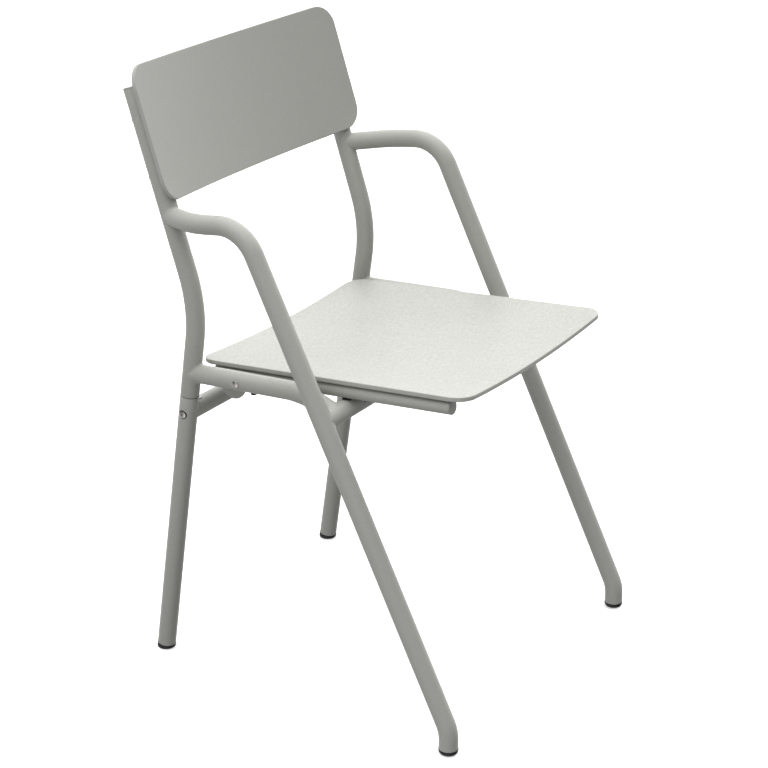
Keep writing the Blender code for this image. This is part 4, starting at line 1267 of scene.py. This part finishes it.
def set_camera(scene, studio):
    back = Vector((math.sin(studio.azimuth) * math.cos(studio.elevation),
                   -math.cos(studio.azimuth) * math.cos(studio.elevation), math.sin(studio.elevation)))
    data = bpy.data.cameras.new("photo_camera")
    data.lens = studio.lens
    data.sensor_width = 36.0
    camera = bpy.data.objects.new("photo_camera", data)
    scene.collection.objects.link(camera)
    right = Vector((math.cos(studio.azimuth), math.sin(studio.azimuth), 0))
    camera.matrix_world = axis_frame(Vector(studio.aim) + back * studio.distance, back, right)
    scene.camera = camera


def on_both_sides(context, *makers):
    """Run makers on the chair's left side and then on its right side."""
    for side, sign in SIDES.items():
        lay = Layout(context, side, sign)
        for make in makers:
            make(lay)


class CHAIR_OT_finishes(bpy.types.Operator):
    """Mix the powder coat, stainless steel, rubber and plastic"""

    bl_idname = "garden_chair.finishes"
    bl_label = "Finishes"

    def execute(self, context):
        looks = context.scene.garden_chair.finishes
        for mix in (mix_powder_coat, mix_stainless, mix_rubber, mix_plastic):
            mix(looks)
        return {"FINISHED"}


class CHAIR_OT_frame_tubes(bpy.types.Operator):
    """Bend the uprights, arms, front legs, side rails and front cross tube"""

    bl_idname = "garden_chair.frame_tubes"
    bl_label = "Frame Tubes"

    def execute(self, context):
        lay = Layout(context)
        on_both_sides(context, make_upright, make_arm_leg, make_side_rail)
        make_cross_tube(lay, lay.front_cross, lay.leg_x, lay.tube_r, lay.front_up, "front_bar", "frame",
                        "front_cross_tube")
        return {"FINISHED"}


class CHAIR_OT_rear_legs(bpy.types.Operator):
    """Make the folding rear legs and their cross tube"""

    bl_idname = "garden_chair.rear_legs"
    bl_label = "Rear Legs"

    def execute(self, context):
        lay = Layout(context)
        on_both_sides(context, make_rear_leg)
        make_cross_tube(lay, lay.rear_cross, lay.upright_x, lay.tubes.rear_cross_d / 2, lay.leg_up,
                        "rear_bar", "rear_legs", "rear_cross_tube")
        return {"FINISHED"}


class CHAIR_OT_welds(bpy.types.Operator):
    """Fill the joints of the tubes with smooth welds"""

    bl_idname = "garden_chair.welds"
    bl_label = "Welds"

    def execute(self, context):
        on_both_sides(context, make_frame_welds, make_rear_weld)
        return {"FINISHED"}


class CHAIR_OT_back(bpy.types.Operator):
    """Make the curved back panel and its screws"""

    bl_idname = "garden_chair.back"
    bl_label = "Back"

    def execute(self, context):
        make_back_panel(Layout(context))
        on_both_sides(context, make_back_screws)
        return {"FINISHED"}


class CHAIR_OT_seat(bpy.types.Operator):
    """Make the dished seat panel with its rails, caps, screws and lugs"""

    bl_idname = "garden_chair.seat"
    bl_label = "Seat"

    def execute(self, context):
        make_seat_panel(Layout(context))
        on_both_sides(context, make_seat_rail, make_seat_screws, make_stop_lug)
        return {"FINISHED"}


class CHAIR_OT_hinges(bpy.types.Operator):
    """Make the hinges of the rear legs with their bolts"""

    bl_idname = "garden_chair.hinges"
    bl_label = "Leg Hinges"

    def execute(self, context):
        on_both_sides(context, make_hinge_socket, make_hinge_fork, make_hinge_rivet, make_fork_bolt)
        return {"FINISHED"}


class CHAIR_OT_pivots(bpy.types.Operator):
    """Make the pivots that the seat turns on"""

    bl_idname = "garden_chair.pivots"
    bl_label = "Seat Pivots"

    def execute(self, context):
        on_both_sides(context, make_pivot_bolt, make_pivot_washer, make_pivot_nut)
        return {"FINISHED"}


class CHAIR_OT_rubber(bpy.types.Operator):
    """Make the feet, the pads under the seat rails and the buffers"""

    bl_idname = "garden_chair.rubber"
    bl_label = "Feet, Pads and Buffers"

    def execute(self, context):
        on_both_sides(context, make_front_foot, make_rear_foot, make_seat_pad, make_rail_buffer)
        return {"FINISHED"}


class CHAIR_OT_studio(bpy.types.Operator):
    """Set up the floor, the light and the camera"""

    bl_idname = "garden_chair.studio"
    bl_label = "Studio"

    def execute(self, context):
        studio = context.scene.garden_chair.studio
        lay_floor(studio)
        set_surround(context.scene, studio)
        add_key_light(context.scene, studio)
        set_camera(context.scene, studio)
        return {"FINISHED"}


OPERATORS = (CHAIR_OT_finishes, CHAIR_OT_frame_tubes, CHAIR_OT_rear_legs, CHAIR_OT_welds, CHAIR_OT_back,
             CHAIR_OT_seat, CHAIR_OT_hinges, CHAIR_OT_pivots, CHAIR_OT_rubber, CHAIR_OT_studio)


class CHAIR_PT_sidebar(bpy.types.Panel):
    """Sizes, finishes and steps of the garden chair"""

    bl_idname = "CHAIR_PT_sidebar"
    bl_label = "Garden Chair"
    bl_space_type = "VIEW_3D"
    bl_region_type = "UI"
    bl_category = "Chair"

    def draw(self, context):
        settings = context.scene.garden_chair
        for group in (settings.tubes, settings.plates, settings.hardware, settings.finishes, settings.studio):
            box = self.layout.box()
            for name in group.__annotations__:
                box.prop(group, name)
        for operator in OPERATORS:
            self.layout.operator(operator.bl_idname)


GROUPS = (TubeSizes, PlateSizes, HardwareSizes, FinishLooks, StudioLooks, ChairSettings)
CLASSES = (*GROUPS, *OPERATORS, CHAIR_PT_sidebar)


def register():
    for item in CLASSES:
        bpy.utils.register_class(item)
    bpy.types.Scene.garden_chair = PointerProperty(type=ChairSettings)


def unregister():
    del bpy.types.Scene.garden_chair
    for item in reversed(CLASSES):
        bpy.utils.unregister_class(item)


def main():
    register()
    for operator in OPERATORS:
        getattr(bpy.ops.garden_chair, operator.bl_idname.split(".")[1])()


if __name__ == "__main__":
    main()
